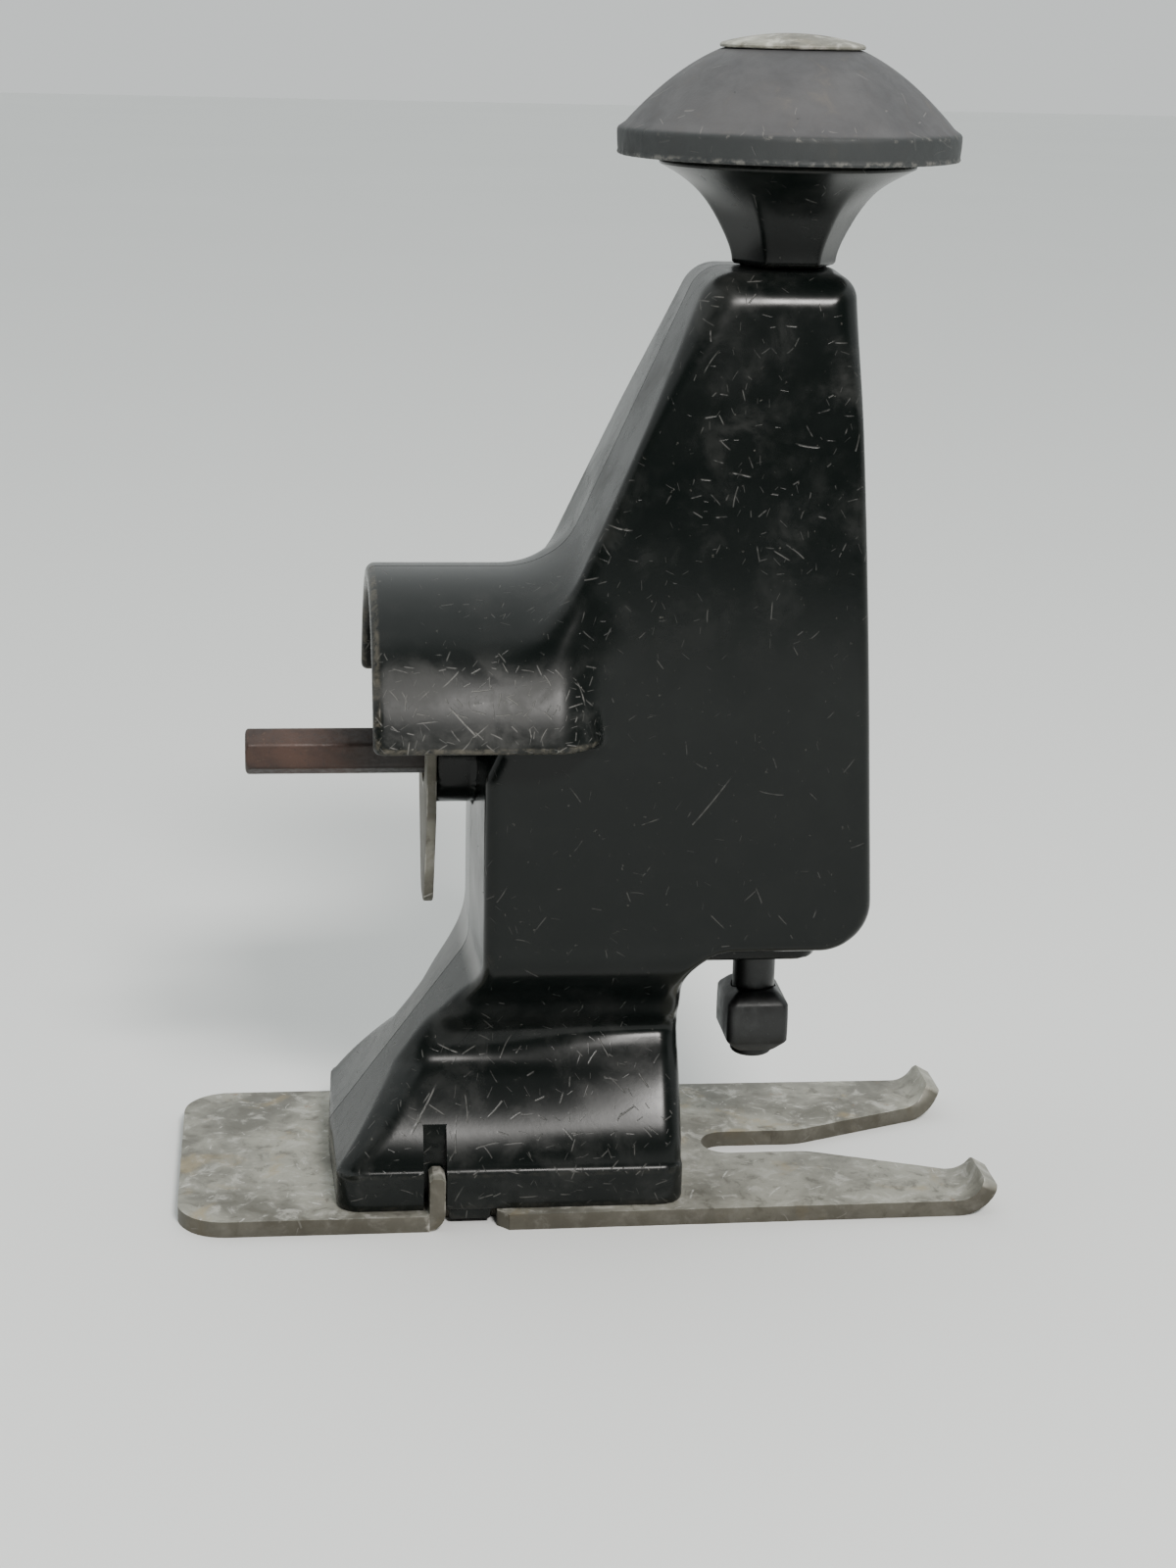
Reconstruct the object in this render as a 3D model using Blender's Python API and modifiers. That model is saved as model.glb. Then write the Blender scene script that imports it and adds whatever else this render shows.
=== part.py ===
"""Shaft-driven sabre saw attachment: a moulded two-half housing on a forked steel sole.

+Z is up, +X points to the fork, the seam between the housing halves is the plane y = 0.
A hex shaft turns a crank; a yoke on the plunger rod turns that into the blade's stroke.
"""
import math

import bmesh
import bpy
from mathutils import Matrix, Vector

MM = 0.001
GAP = 0.3 * MM
HALF_SEAM = GAP / 2

# Driving dimensions
SOLE_BACK = -80 * MM
SOLE_FRONT = 80 * MM
SOLE_HALF_WIDTH = 32 * MM
SOLE_THICKNESS = 3.2 * MM
ROD_X = 35 * MM
ROD_RADIUS = 4.25 * MM
SHAFT_Z = 87.2 * MM
SHAFT_FLATS = 8.1 * MM
JOURNAL_RADIUS = 5.2 * MM
CRANK_THROW = 6.35 * MM
KNOB_RADIUS = 32 * MM
HOOD_RADIUS = 36.4 * MM
HOOD_WALL = 3.8 * MM

# Sole plate
SOLE_CORNER = 9.5 * MM
FORK_ROOT_X = 25.6 * MM
FORK_HALF_GAP = 5.3 * MM
FORK_FLARE_X = 46.5 * MM
FORK_TIP_HALF_GAP = 18.9 * MM
TIP_BEND_X = 72.5 * MM
TIP_BEND_RADIUS = 9.0 * MM
TAB_BACK = -31.9 * MM
TAB_FRONT = -28.8 * MM
TAB_INNER_Y = 25.5 * MM
TAB_TOP = 11.0 * MM
NOTCH_FRONT = -18.7 * MM

# Housing outline at the seam, as corners with a radius
FOOT_BOTTOM = SOLE_THICKNESS + GAP
FOOT_BACK = -50.2 * MM
FOOT_FRONT = 18.4 * MM
SKIRT_TOP = 10.8 * MM
NECK_BACK = -22.6 * MM
NECK_LOW = 48.3 * MM
NECK_HIGH = 88.2 * MM
NOSE_BOTTOM = 52.5 * MM
NOSE_FRONT = 54.0 * MM
HOUSING_TOP = 181.0 * MM
TOP_BACK = 19.2 * MM
TOP_FRONT = 46.9 * MM
EDGE_RADIUS = 2.5 * MM
DRAFT = 0.035

# Half thickness of the housing against height: skirt, cove, flat side, then a long curve
SIDE_DEPTH = 26.5 * MM
SIDE_CURVE_START = 90 * MM
SIDE_CURVE_RADIUS = 405 * MM
FOOT_DEPTHS = (
    (-10.0, 29.3),
    (3.0, 29.3),
    (10.7, 28.9),
    (16.0, 26.6),
    (22.0, 22.2),
    (29.0, 17.4),
    (36.0, 15.5),
    (42.0, 17.4),
    (47.0, 23.0),
    (51.0, 26.2),
    (56.0, 26.5),
    (90.0, 26.5),
)

# Hood and bosses
HOOD_BACK = -42.9 * MM
HOOD_FULL_TO = -11.0 * MM
HOOD_END = 2.0 * MM
HOOD_EDGE_Z = 95.6 * MM
BOSS_RADIUS = 10.0 * MM
BOSS_BACK = -29.8 * MM
NOSE_BOSS_BOTTOM = 47.0 * MM
NOSE_BOSS_HALF = 12.0 * MM
NOSE_BOSS_FRONT = 45.5 * MM
TONGUE_THICKNESS = 1.9 * MM
TONGUE_HALF_WIDTH = 14.0 * MM
TONGUE_TOP = 109.0 * MM
TONGUE_SHOULDER = 78.0 * MM
TONGUE_TIP = 57.2 * MM
TONGUE_TIP_HALF = 5.0 * MM
TONGUE_BORE = 6.2 * MM
TONGUE_SCREW_Y = 9.0 * MM
TONGUE_SCREW_Z = 103.0 * MM
TONGUE_SCREW_RADIUS = 1.5 * MM
TONGUE_HEAD_RADIUS = 3.2 * MM
TONGUE_HEAD_HEIGHT = 2.0 * MM
LUG_RADIUS = 4.5 * MM
FOOT_LUG_Y = (26.2 * MM, 28.7 * MM)

# Running gear
BUSH_RADIUS = 8.0 * MM
BORE_CLEARANCE = 0.8 * MM
REAR_BUSH = (2.0 * MM, 14.0 * MM)
BEARING_SPACER = (16.3 * MM, 5.4 * MM)
FRONT_BUSH = (22.0 * MM, 13.7 * MM)
SHAFT_END = -66.3 * MM
HEX_TO = -31.0 * MM
CHAMBER_BACK = 6.2 * MM
CHAMBER_FRONT = 45.5 * MM
CHAMBER_LOW = 67.2 * MM
CHAMBER_HIGH = 123.0 * MM
CHAMBER_DEPTH = 22.0 * MM
DISC_BACK = 7.8 * MM
DISC_FRONT = 14.8 * MM
DISC_FLOOR = 10.9 * MM
DISC_RADIUS = 14.0 * MM
PIN_RADIUS = 2.8 * MM
ROLLER_RADIUS = 4.6 * MM
PIN_FRONT = 19.9 * MM
YOKE_BACK = 20.5 * MM
YOKE_PLATE = 6.8 * MM
YOKE_HALF_WIDTH = 17.0 * MM
YOKE_HALF_HEIGHT = 12.0 * MM
YOKE_HUB_HALF = 8.5 * MM
YOKE_PIN_Z = SHAFT_Z + 6.5 * MM
YOKE_PIN_RADIUS = 1.7 * MM
YOKE_SLOT_DEPTH = 5.0 * MM
ROD_BOTTOM = 23.5 * MM
ROD_TOP = 150.0 * MM
LOWER_BUSH = (49.0 * MM, 63.7 * MM)
FELT = (64.0 * MM, 66.8 * MM)
UPPER_BUSH = (127.0 * MM, 145.0 * MM)

# Blade clamp
CLAMP_BOTTOM = 25.5 * MM
CLAMP_TOP = 38.0 * MM
CLAMP_HALF_X = 6.2 * MM
CLAMP_HALF_Y = 8.0 * MM
CLAMP_SCREW_Z = 31.5 * MM
CLAMP_SCREW_RADIUS = 2.5 * MM

# Knob
STEM_RADIUS = 10.0 * MM
STEM_TOP = 200.3 * MM
RIM_TOP = 205.5 * MM
DOME_TOP = 220.0 * MM
CAP_RADIUS = 13.45 * MM
KNOB_TOP = 223.0 * MM
BOLT_RADIUS = 3.2 * MM
BOLT_BOTTOM = 160.0 * MM
NUT_BOTTOM = 162.0 * MM
NUT_TOP = 168.5 * MM
NUT_RADIUS = 6.4 * MM
WASHER_RADIUS = 7.5 * MM
STEM_FLARE = 24.0 * MM

# Hollows inside the housing
LOFT_BACK = 24.0 * MM
LOFT_FRONT = 42.5 * MM
LOFT_DEPTH = 13.5 * MM
LOFT_LOW = 154.0 * MM
LOFT_HIGH = 171.0 * MM
FOOT_HOLLOW_DEPTH = 11.0 * MM
FOOT_HOLLOW = (
    (-35.0 * MM, 19.0 * MM),
    (3.0 * MM, 19.0 * MM),
    (3.0 * MM, 62.0 * MM),
    (-17.0 * MM, 62.0 * MM),
    (-17.0 * MM, 45.0 * MM),
)

# Housing screws, entered from the far side, as (x, z)
SCREW_PLACES = (
    (17.4 * MM, 157.5 * MM),
    (4.6 * MM, 129.5 * MM),
    (-14.4 * MM, 70.0 * MM),
    (-39.0 * MM, 12.5 * MM),
    (10.2 * MM, 13.0 * MM),
)
SCREW_HEAD_RADIUS = 3.7 * MM
SCREW_HEAD_HEIGHT = 2.4 * MM
SCREW_RADIUS = 1.9 * MM
SCREW_SEAT_Y = 9.0 * MM
SCREW_DEPTH_Y = -11.0 * MM
SLOT_HALF_WIDTH = 0.5 * MM
SLOT_DEPTH = 1.0 * MM


def clear_scene():
    for thing in list(bpy.data.objects):
        bpy.data.objects.remove(thing, do_unlink=True)


def new_collection(name):
    group = bpy.data.collections.new(name)
    bpy.context.scene.collection.children.link(group)
    return group


clear_scene()
PARTS = new_collection("sabre_saw_attachment")
CUTTERS = new_collection("cutters")


def material(name, colour, roughness, metallic):
    mat = bpy.data.materials.new(name)
    mat.use_nodes = True
    shader = mat.node_tree.nodes["Principled BSDF"]
    shader.inputs["Base Color"].default_value = (*colour, 1.0)
    shader.inputs["Roughness"].default_value = roughness
    shader.inputs["Metallic"].default_value = metallic
    return mat


BLACK_PLASTIC = ("black_phenolic", (0.012, 0.013, 0.014), 0.32, 0.0)
DULL_RUBBER = ("charcoal_rubber", (0.035, 0.036, 0.038), 0.75, 0.0)
PLATED_STEEL = ("zinc_plated_steel", (0.42, 0.40, 0.35), 0.45, 1.0)
RUSTY_STEEL = ("rusted_steel", (0.16, 0.08, 0.05), 0.6, 0.6)
DARK_STEEL = ("oiled_dark_steel", (0.05, 0.05, 0.05), 0.4, 0.9)
BRIGHT_STEEL = ("ground_steel", (0.5, 0.5, 0.5), 0.3, 1.0)
BRONZE = ("sintered_bronze", (0.45, 0.27, 0.12), 0.5, 0.9)
FELT_WOOL = ("oiled_felt", (0.18, 0.16, 0.13), 0.95, 0.0)


def add_object(name, mesh, look=None):
    thing = bpy.data.objects.new(name, mesh)
    if look is None:
        CUTTERS.objects.link(thing)
        thing.hide_render = True
        thing.display_type = "WIRE"
    else:
        PARTS.objects.link(thing)
        thing.data.materials.append(material(name + "_" + look[0], *look[1:]))
    return thing


def mesh_from(bm, name):
    mesh = bpy.data.meshes.new(name)
    bm.to_mesh(mesh)
    bm.free()
    return mesh


def box_mesh(bm, low, high):
    size = Vector(high) - Vector(low)
    middle = (Vector(high) + Vector(low)) / 2
    place = Matrix.Translation(middle) @ Matrix.Diagonal((*size, 1.0))
    return bmesh.ops.create_cube(bm, size=1.0, matrix=place)["verts"]


def box(name, low, high, look=None, origin=(0, 0, 0)):
    bm = bmesh.new()
    box_mesh(bm, Vector(low) - Vector(origin), Vector(high) - Vector(origin))
    thing = add_object(name, mesh_from(bm, name), look)
    thing.location = origin
    return thing


AXIS_TURN = {
    "X": Matrix.Rotation(math.pi / 2, 4, "Y"),
    "Y": Matrix.Rotation(-math.pi / 2, 4, "X"),
    "Z": Matrix.Identity(4),
    "-X": Matrix.Rotation(-math.pi / 2, 4, "Y"),
}


def rod_mesh(bm, axis, start, length, radius, sides=24):
    """A cylinder from the point start, running length along +axis."""
    direction = {"X": Vector((1, 0, 0)), "Y": Vector((0, 1, 0)), "Z": Vector((0, 0, 1))}[axis]
    middle = Vector(start) + direction * (length / 2)
    place = Matrix.Translation(middle) @ AXIS_TURN[axis]
    bmesh.ops.create_cone(bm, cap_ends=True, segments=sides, radius1=radius, radius2=radius,
                          depth=length, matrix=place)


def cylinder(name, axis, start, length, radius, look=None, sides=24):
    bm = bmesh.new()
    rod_mesh(bm, axis, (0, 0, 0), length, radius, sides)
    thing = add_object(name, mesh_from(bm, name), look)
    thing.location = start
    return thing


def turned(name, profile, axis, place, look=None, steps=32, closed=True):
    """A turned piece: profile is (radius, height) from the top down its outer side."""
    mesh = bpy.data.meshes.new(name)
    verts = [(radius, 0, height) for radius, height in profile]
    edges = [(i, i + 1) for i in range(len(verts) - 1)]
    if closed:
        edges.append((len(verts) - 1, 0))
    mesh.from_pydata(verts, edges, [])
    thing = add_object(name, mesh, look)
    screw = thing.modifiers.new("turn", "SCREW")
    screw.steps = steps
    screw.render_steps = steps
    screw.use_merge_vertices = True
    screw.merge_threshold = 0.00001
    thing.matrix_world = Matrix.Translation(place) @ AXIS_TURN[axis]
    return thing


def ring(name, axis, place, length, inner, outer, look=None, steps=32):
    profile = ((outer, length), (outer, 0), (inner, 0), (inner, length))
    return turned(name, profile, axis, place, look, steps)


def combine(target, other, operation):
    step = target.modifiers.new(other.name, "BOOLEAN")
    step.operation = operation
    step.solver = "EXACT"
    step.object = other


def cut(target, cutter):
    combine(target, cutter, "DIFFERENCE")


def join(target, other):
    combine(target, other, "UNION")


def rounded_outline(corners, steps):
    """Corner points (a, b, radius) as a closed outline with an arc at each radius."""
    points = []
    count = len(corners)
    for i, (a, b, radius) in enumerate(corners):
        here = Vector((a, b))
        if radius == 0:
            points.append(here)
            continue
        before = (Vector(corners[i - 1][:2]) - here).normalized()
        after = (Vector(corners[(i + 1) % count][:2]) - here).normalized()
        half = before.angle(after) / 2
        centre = here + (before + after).normalized() * (radius / math.sin(half))
        first = here + before * (radius / math.tan(half)) - centre
        last = here + after * (radius / math.tan(half)) - centre
        sweep = first.angle_signed(last)
        for k in range(steps + 1):
            turn = Matrix.Rotation(-sweep * k / steps, 2)
            points.append(centre + turn @ first)
    return points


def flat_mesh(name, outline, half_thickness):
    """A flat outline in local XY, as the filled curve that Blender makes of it."""
    curve = bpy.data.curves.new(name, "CURVE")
    curve.dimensions = "2D"
    curve.fill_mode = "BOTH"
    curve.extrude = half_thickness
    spline = curve.splines.new("POLY")
    spline.points.add(len(outline) - 1)
    for point, place in zip(spline.points, outline):
        point.co = (place[0], place[1], 0, 1)
    spline.use_cyclic_u = True
    thing = bpy.data.objects.new(name, curve)
    CUTTERS.objects.link(thing)
    seen = thing.evaluated_get(bpy.context.evaluated_depsgraph_get())
    mesh = bpy.data.meshes.new_from_object(seen)
    bpy.data.objects.remove(thing, do_unlink=True)
    bpy.data.curves.remove(curve)
    bm = bmesh.new()
    bm.from_mesh(mesh)
    bmesh.ops.remove_doubles(bm, verts=bm.verts, dist=0.000001)
    bmesh.ops.dissolve_limit(bm, angle_limit=math.radians(1), verts=bm.verts, edges=bm.edges)
    bm.to_mesh(mesh)
    bm.free()
    return mesh


def side_prism(name, outline, y_low, y_high):
    """An outline of (x, z) points, run along Y from y_low to y_high."""
    mesh = flat_mesh(name, outline, (y_high - y_low) / 2)
    mesh.transform(Matrix.Rotation(math.pi / 2, 4, "X"))
    mesh.transform(Matrix.Translation((0, (y_low + y_high) / 2, 0)))
    return add_object(name, mesh)


def side_depth(z):
    """Half thickness of the housing at height z."""
    if z > SIDE_CURVE_START:
        rise = z - SIDE_CURVE_START
        return SIDE_DEPTH - rise * rise / (2 * SIDE_CURVE_RADIUS)
    heights = [height * MM for height, _ in FOOT_DEPTHS]
    depths = [depth * MM for _, depth in FOOT_DEPTHS]
    k = max(i for i in range(len(heights) - 1) if heights[i] <= z or i == 0)

    def slope(i):
        low = max(i - 1, 0)
        high = min(i + 1, len(heights) - 1)
        return (depths[high] - depths[low]) / (heights[high] - heights[low])

    span = heights[k + 1] - heights[k]
    t = (z - heights[k]) / span
    start = (2 * t**3 - 3 * t**2 + 1) * depths[k] + (t**3 - 2 * t**2 + t) * span * slope(k)
    end = (3 * t**2 - 2 * t**3) * depths[k + 1] + (t**3 - t**2) * span * slope(k + 1)
    return start + end


HOUSING_CORNERS = (
    (FOOT_BACK, -6 * MM, 0),
    (FOOT_BACK, SKIRT_TOP, 2 * MM),
    (NECK_BACK, NECK_LOW, 10 * MM),
    (NECK_BACK, NECK_HIGH, 6 * MM),
    (TOP_BACK, HOUSING_TOP, 7 * MM),
    (TOP_FRONT, HOUSING_TOP, 5 * MM),
    (NOSE_FRONT, NOSE_BOTTOM, 10.5 * MM),
    (FOOT_FRONT, NOSE_BOTTOM, 8 * MM),
    (FOOT_FRONT, -6 * MM, 0),
)
HOUSING_LEVELS = (7, 13, 17, 21, 25, 29, 33, 37, 41, 44, 47, 50, 58, 92, 110, 125, 140, 155, 169)


def moulded_half(name, corners, levels, arc_steps, edge_steps):
    """A drafted, edge-rounded half of the housing on the -y side, 1 mm past the seam."""
    mesh = flat_mesh(name, rounded_outline(corners, arc_steps), 0)
    mesh.transform(Matrix.Rotation(math.pi / 2, 4, "X"))
    bm = bmesh.new()
    bm.from_mesh(mesh)
    bmesh.ops.dissolve_faces(bm, faces=bm.faces)
    for level in levels:
        everything = bm.verts[:] + bm.edges[:] + bm.faces[:]
        bmesh.ops.bisect_plane(bm, geom=everything, plane_co=(0, 0, level * MM), plane_no=(0, 0, 1),
                               dist=0.000001)
    back = bm.verts.layers.float.new("back")
    inner = bm.faces[:]
    steps = [(DRAFT * (SIDE_DEPTH - EDGE_RADIUS), EDGE_RADIUS)]
    for k in range(1, edge_steps + 1):
        angle = math.pi / 2 * k / edge_steps
        before = math.pi / 2 * (k - 1) / edge_steps
        inward = EDGE_RADIUS * (math.cos(before) - math.cos(angle))
        steps.append((inward, EDGE_RADIUS * (1 - math.sin(angle))))
    for vert in bm.verts:
        vert[back] = -1.0
    for thickness, setback in steps:
        bmesh.ops.inset_region(bm, faces=inner, thickness=thickness, use_boundary=True,
                               use_even_offset=True)
        for vert in {vert for face in inner for vert in face.verts}:
            vert[back] = setback
    for vert in bm.verts:
        if vert[back] < 0:
            vert.co.y = 1 * MM
        else:
            vert.co.y = vert[back] - side_depth(vert.co.z)
    bmesh.ops.holes_fill(bm, edges=bm.edges)
    everything = bm.verts[:] + bm.edges[:] + bm.faces[:]
    bmesh.ops.bisect_plane(bm, geom=everything, plane_co=(0, 0, FOOT_BOTTOM), plane_no=(0, 0, 1),
                           clear_inner=True, dist=0.000001)
    bmesh.ops.holes_fill(bm, edges=[edge for edge in bm.edges if edge.is_boundary])
    bmesh.ops.recalc_face_normals(bm, faces=bm.faces)
    bmesh.ops.triangulate(bm, faces=bm.faces)
    bm.to_mesh(mesh)
    bm.free()
    mesh.name = name
    return mesh


def hood_outline():
    """Hood radius along X: full, then easing down into the side of the body."""
    return (
        (HOOD_RADIUS, HOOD_BACK),
        (HOOD_RADIUS, HOOD_FULL_TO),
        (HOOD_RADIUS - 1.0 * MM, HOOD_FULL_TO + 3.0 * MM),
        (HOOD_RADIUS - 5.5 * MM, HOOD_FULL_TO + 6.5 * MM),
        (HOOD_RADIUS - 9.5 * MM, HOOD_END),
        (0, HOOD_END),
        (0, HOOD_BACK),
    )


def half_space_cut(bm, point, normal):
    everything = bm.verts[:] + bm.edges[:] + bm.faces[:]
    bmesh.ops.bisect_plane(bm, geom=everything, plane_co=point, plane_no=normal,
                           clear_outer=True, dist=0.000001)
    bmesh.ops.holes_fill(bm, edges=[edge for edge in bm.edges if edge.is_boundary])


def hood_solid():
    """The hood before it is hollowed: a turned shape kept above the hood's edge."""
    turn = turned("hood_turn", hood_outline(), "X", (0, 0, SHAFT_Z), steps=40, closed=False)
    bpy.context.view_layer.update()
    seen = turn.evaluated_get(bpy.context.evaluated_depsgraph_get())
    mesh = bpy.data.meshes.new_from_object(seen)
    mesh.transform(turn.matrix_world)
    bpy.data.objects.remove(turn, do_unlink=True)
    bm = bmesh.new()
    bm.from_mesh(mesh)
    half_space_cut(bm, (0, 0, HOOD_EDGE_Z), (0, 0, -1))
    bmesh.ops.recalc_face_normals(bm, faces=bm.faces)
    bmesh.ops.triangulate(bm, faces=bm.faces)
    bm.to_mesh(mesh)
    bm.free()
    return add_object("hood_solid", mesh)


def hood_hollow():
    bm = bmesh.new()
    start = HOOD_BACK - 2 * MM
    rod_mesh(bm, "X", (start, 0, SHAFT_Z), NECK_BACK + 1.2 * MM - start, HOOD_RADIUS - HOOD_WALL, 48)
    half_space_cut(bm, (0, 0, HOOD_EDGE_Z - 2 * MM), (0, 0, -1))
    bmesh.ops.recalc_face_normals(bm, faces=bm.faces)
    return add_object("hood_hollow", mesh_from(bm, "hood_hollow"))


def rear_boss():
    return cylinder("rear_boss", "X", (BOSS_BACK, 0, SHAFT_Z), NECK_BACK + 4 * MM - BOSS_BACK,
                    BOSS_RADIUS, sides=32)


def tongue_lugs():
    bm = bmesh.new()
    for side in (-1, 1):
        start = (BOSS_BACK, side * TONGUE_SCREW_Y, TONGUE_SCREW_Z)
        rod_mesh(bm, "X", start, NECK_BACK + 5 * MM - BOSS_BACK, LUG_RADIUS, 20)
    return add_object("tongue_lugs", mesh_from(bm, "tongue_lugs"))


def nose_boss():
    """Flat boss under the nose, round the lower rod bush."""
    back = FOOT_FRONT - 3 * MM
    wide = NOSE_BOSS_HALF
    corners = (
        (back, -wide, 0),
        (NOSE_BOSS_FRONT, -wide, 5 * MM),
        (NOSE_BOSS_FRONT, wide, 5 * MM),
        (back, wide, 0),
    )
    height = NOSE_BOTTOM + 3 * MM - NOSE_BOSS_BOTTOM
    mesh = flat_mesh("nose_boss", rounded_outline(corners, 4), height / 2)
    mesh.transform(Matrix.Translation((0, 0, NOSE_BOSS_BOTTOM + height / 2)))
    return add_object("nose_boss", mesh)


def foot_lug(name, side):
    """Lug under the foot that stands in the sole plate's notch."""
    y = sorted(side * reach for reach in FOOT_LUG_Y)
    low = (TAB_FRONT + 0.9 * MM, y[0], 1.0 * MM)
    high = (NOTCH_FRONT - 1.0 * MM, y[1], FOOT_BOTTOM + 2 * MM)
    return box(name, low, high)


def tab_slots():
    bm = bmesh.new()
    for side in (-1, 1):
        inner = side * (TAB_INNER_Y - 1.0 * MM)
        outer = side * (SOLE_HALF_WIDTH + 2 * MM)
        low = (TAB_BACK - 1.0 * MM, min(inner, outer), 0)
        high = (TAB_FRONT + 0.4 * MM, max(inner, outer), 20 * MM)
        box_mesh(bm, low, high)
    return add_object("tab_slots", mesh_from(bm, "tab_slots"))


def shaft_bore():
    """Seat for the shaft's bushes, narrowing to a lip at the rear boss."""
    seat = BUSH_RADIUS + GAP
    clear = JOURNAL_RADIUS + BORE_CLEARANCE
    front = CHAMBER_BACK + 1 * MM
    lip = BOSS_BACK + REAR_BUSH[0] - GAP
    back = BOSS_BACK - 2 * MM
    profile = ((0, front), (seat, front), (seat, lip), (clear, lip), (clear, back), (0, back))
    return turned("shaft_bore", profile, "X", (0, 0, SHAFT_Z), steps=28, closed=False)


def rod_bore():
    """Seats for the rod's bushes and felt, and the bolt's hole above them."""
    seat = BUSH_RADIUS + GAP
    clear = ROD_RADIUS + BORE_CLEARANCE
    bolt = BOLT_RADIUS + 0.5 * MM
    profile = (
        (0, HOUSING_TOP + 2 * MM),
        (bolt, HOUSING_TOP + 2 * MM),
        (bolt, LOFT_HIGH - 2 * MM),
        (clear, LOFT_HIGH - 2 * MM),
        (clear, UPPER_BUSH[1] + GAP),
        (seat, UPPER_BUSH[1] + GAP),
        (seat, UPPER_BUSH[0] - GAP),
        (clear, UPPER_BUSH[0] - GAP),
        (clear, CHAMBER_LOW + 1 * MM),
        (seat, CHAMBER_LOW + 1 * MM),
        (seat, LOWER_BUSH[0] - GAP),
        (clear, LOWER_BUSH[0] - GAP),
        (clear, NOSE_BOSS_BOTTOM - 2 * MM),
        (0, NOSE_BOSS_BOTTOM - 2 * MM),
    )
    return turned("rod_bore", profile, "Z", (ROD_X, 0, 0), steps=28, closed=False)


def chamber():
    """Room for the crank and the yoke's stroke, and the loft above it for the knob's nut."""
    bm = bmesh.new()
    box_mesh(bm, (CHAMBER_BACK, -CHAMBER_DEPTH, CHAMBER_LOW), (CHAMBER_FRONT, CHAMBER_DEPTH, CHAMBER_HIGH))
    box_mesh(bm, (LOFT_BACK, -LOFT_DEPTH, LOFT_LOW), (LOFT_FRONT, LOFT_DEPTH, LOFT_HIGH))
    return add_object("chamber", mesh_from(bm, "chamber"))


def foot_hollow():
    """The foot and neck are moulded hollow."""
    return side_prism("foot_hollow", FOOT_HOLLOW, -FOOT_HOLLOW_DEPTH, FOOT_HOLLOW_DEPTH)


def screw_holes():
    bm = bmesh.new()
    for x, z in SCREW_PLACES:
        rod_mesh(bm, "Y", (x, SCREW_DEPTH_Y - 0.6 * MM, z), SCREW_SEAT_Y + 1 * MM - SCREW_DEPTH_Y,
                 SCREW_RADIUS + GAP, 16)
    return add_object("screw_holes", mesh_from(bm, "screw_holes"))


def screw_counterbores():
    bm = bmesh.new()
    for x, z in SCREW_PLACES:
        rod_mesh(bm, "Y", (x, SCREW_SEAT_Y, z), 32 * MM, SCREW_HEAD_RADIUS + 0.4 * MM, 20)
    return add_object("screw_counterbores", mesh_from(bm, "screw_counterbores"))


def tongue_screw_holes():
    bm = bmesh.new()
    for side in (-1, 1):
        rod_mesh(bm, "X", (BOSS_BACK - 1 * MM, side * TONGUE_SCREW_Y, TONGUE_SCREW_Z), 10.6 * MM,
                 TONGUE_SCREW_RADIUS + GAP, 14)
    return add_object("tongue_screw_holes", mesh_from(bm, "tongue_screw_holes"))


def seam_trim(name, side):
    """All that lies past one half's face of the seam."""
    reach = 60 * MM
    y = sorted((side * HALF_SEAM, -side * reach))
    return box("seam_trim_" + name, (-90 * MM, y[0], -20 * MM), (90 * MM, y[1], 240 * MM))


def housing():
    near_mesh = moulded_half("housing_near_half", HOUSING_CORNERS, HOUSING_LEVELS, 4, 2)
    far_mesh = near_mesh.copy()
    far_mesh.name = "housing_far_half"
    far_mesh.transform(Matrix.Diagonal((1, -1, 1, 1)))
    far_mesh.flip_normals()
    hood = hood_solid()
    hollow = hood_hollow()
    added = (rear_boss(), tongue_lugs(), nose_boss())
    cutters = (tab_slots(), shaft_bore(), rod_bore(), chamber(), foot_hollow(), screw_holes(),
               tongue_screw_holes())
    counterbores = screw_counterbores()
    for side, mesh, name in ((-1, near_mesh, "near"), (1, far_mesh, "far")):
        shell = add_object("housing_" + name + "_half", mesh, BLACK_PLASTIC)
        join(shell, hood)
        cut(shell, hollow)
        for piece in added:
            join(shell, piece)
        join(shell, foot_lug("foot_lug_" + name, side))
        for cutter in cutters:
            cut(shell, cutter)
        if side == 1:
            cut(shell, counterbores)
        cut(shell, seam_trim(name, side))


def slotted_screw(name, axis, seat, head, shank, look):
    """A pan-head screw; seat is the point under its head, which lies towards +axis."""
    head_radius, head_height = head
    radius, length = shank
    profile = (
        (0, head_height),
        (head_radius, head_height),
        (head_radius, 0),
        (radius, 0),
        (radius, -length),
        (0, -length),
    )
    screw = turned(name, profile, axis, seat, look, steps=20, closed=False)
    reach = head_radius + 1 * MM
    slot = box(name + "_slot", (-reach, -SLOT_HALF_WIDTH, head_height - SLOT_DEPTH),
               (reach, SLOT_HALF_WIDTH, head_height + SLOT_DEPTH))
    slot.matrix_world = Matrix.Translation(seat) @ AXIS_TURN[axis]
    cut(screw, slot)


def housing_screws():
    seat_y = SCREW_SEAT_Y + GAP
    for number, (x, z) in enumerate(SCREW_PLACES, 1):
        slotted_screw("housing_screw_" + str(number), "Y", (x, seat_y, z),
                      (SCREW_HEAD_RADIUS, SCREW_HEAD_HEIGHT), (SCREW_RADIUS, seat_y - SCREW_DEPTH_Y),
                      BRIGHT_STEEL)


def flat_tip_x():
    """Where the fork's tip lies before it is rolled up, so that it ends at SOLE_FRONT."""
    reach = math.asin((SOLE_FRONT - TIP_BEND_X) / (TIP_BEND_RADIUS + SOLE_THICKNESS))
    return TIP_BEND_X + reach * (TIP_BEND_RADIUS + SOLE_THICKNESS / 2)


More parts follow.
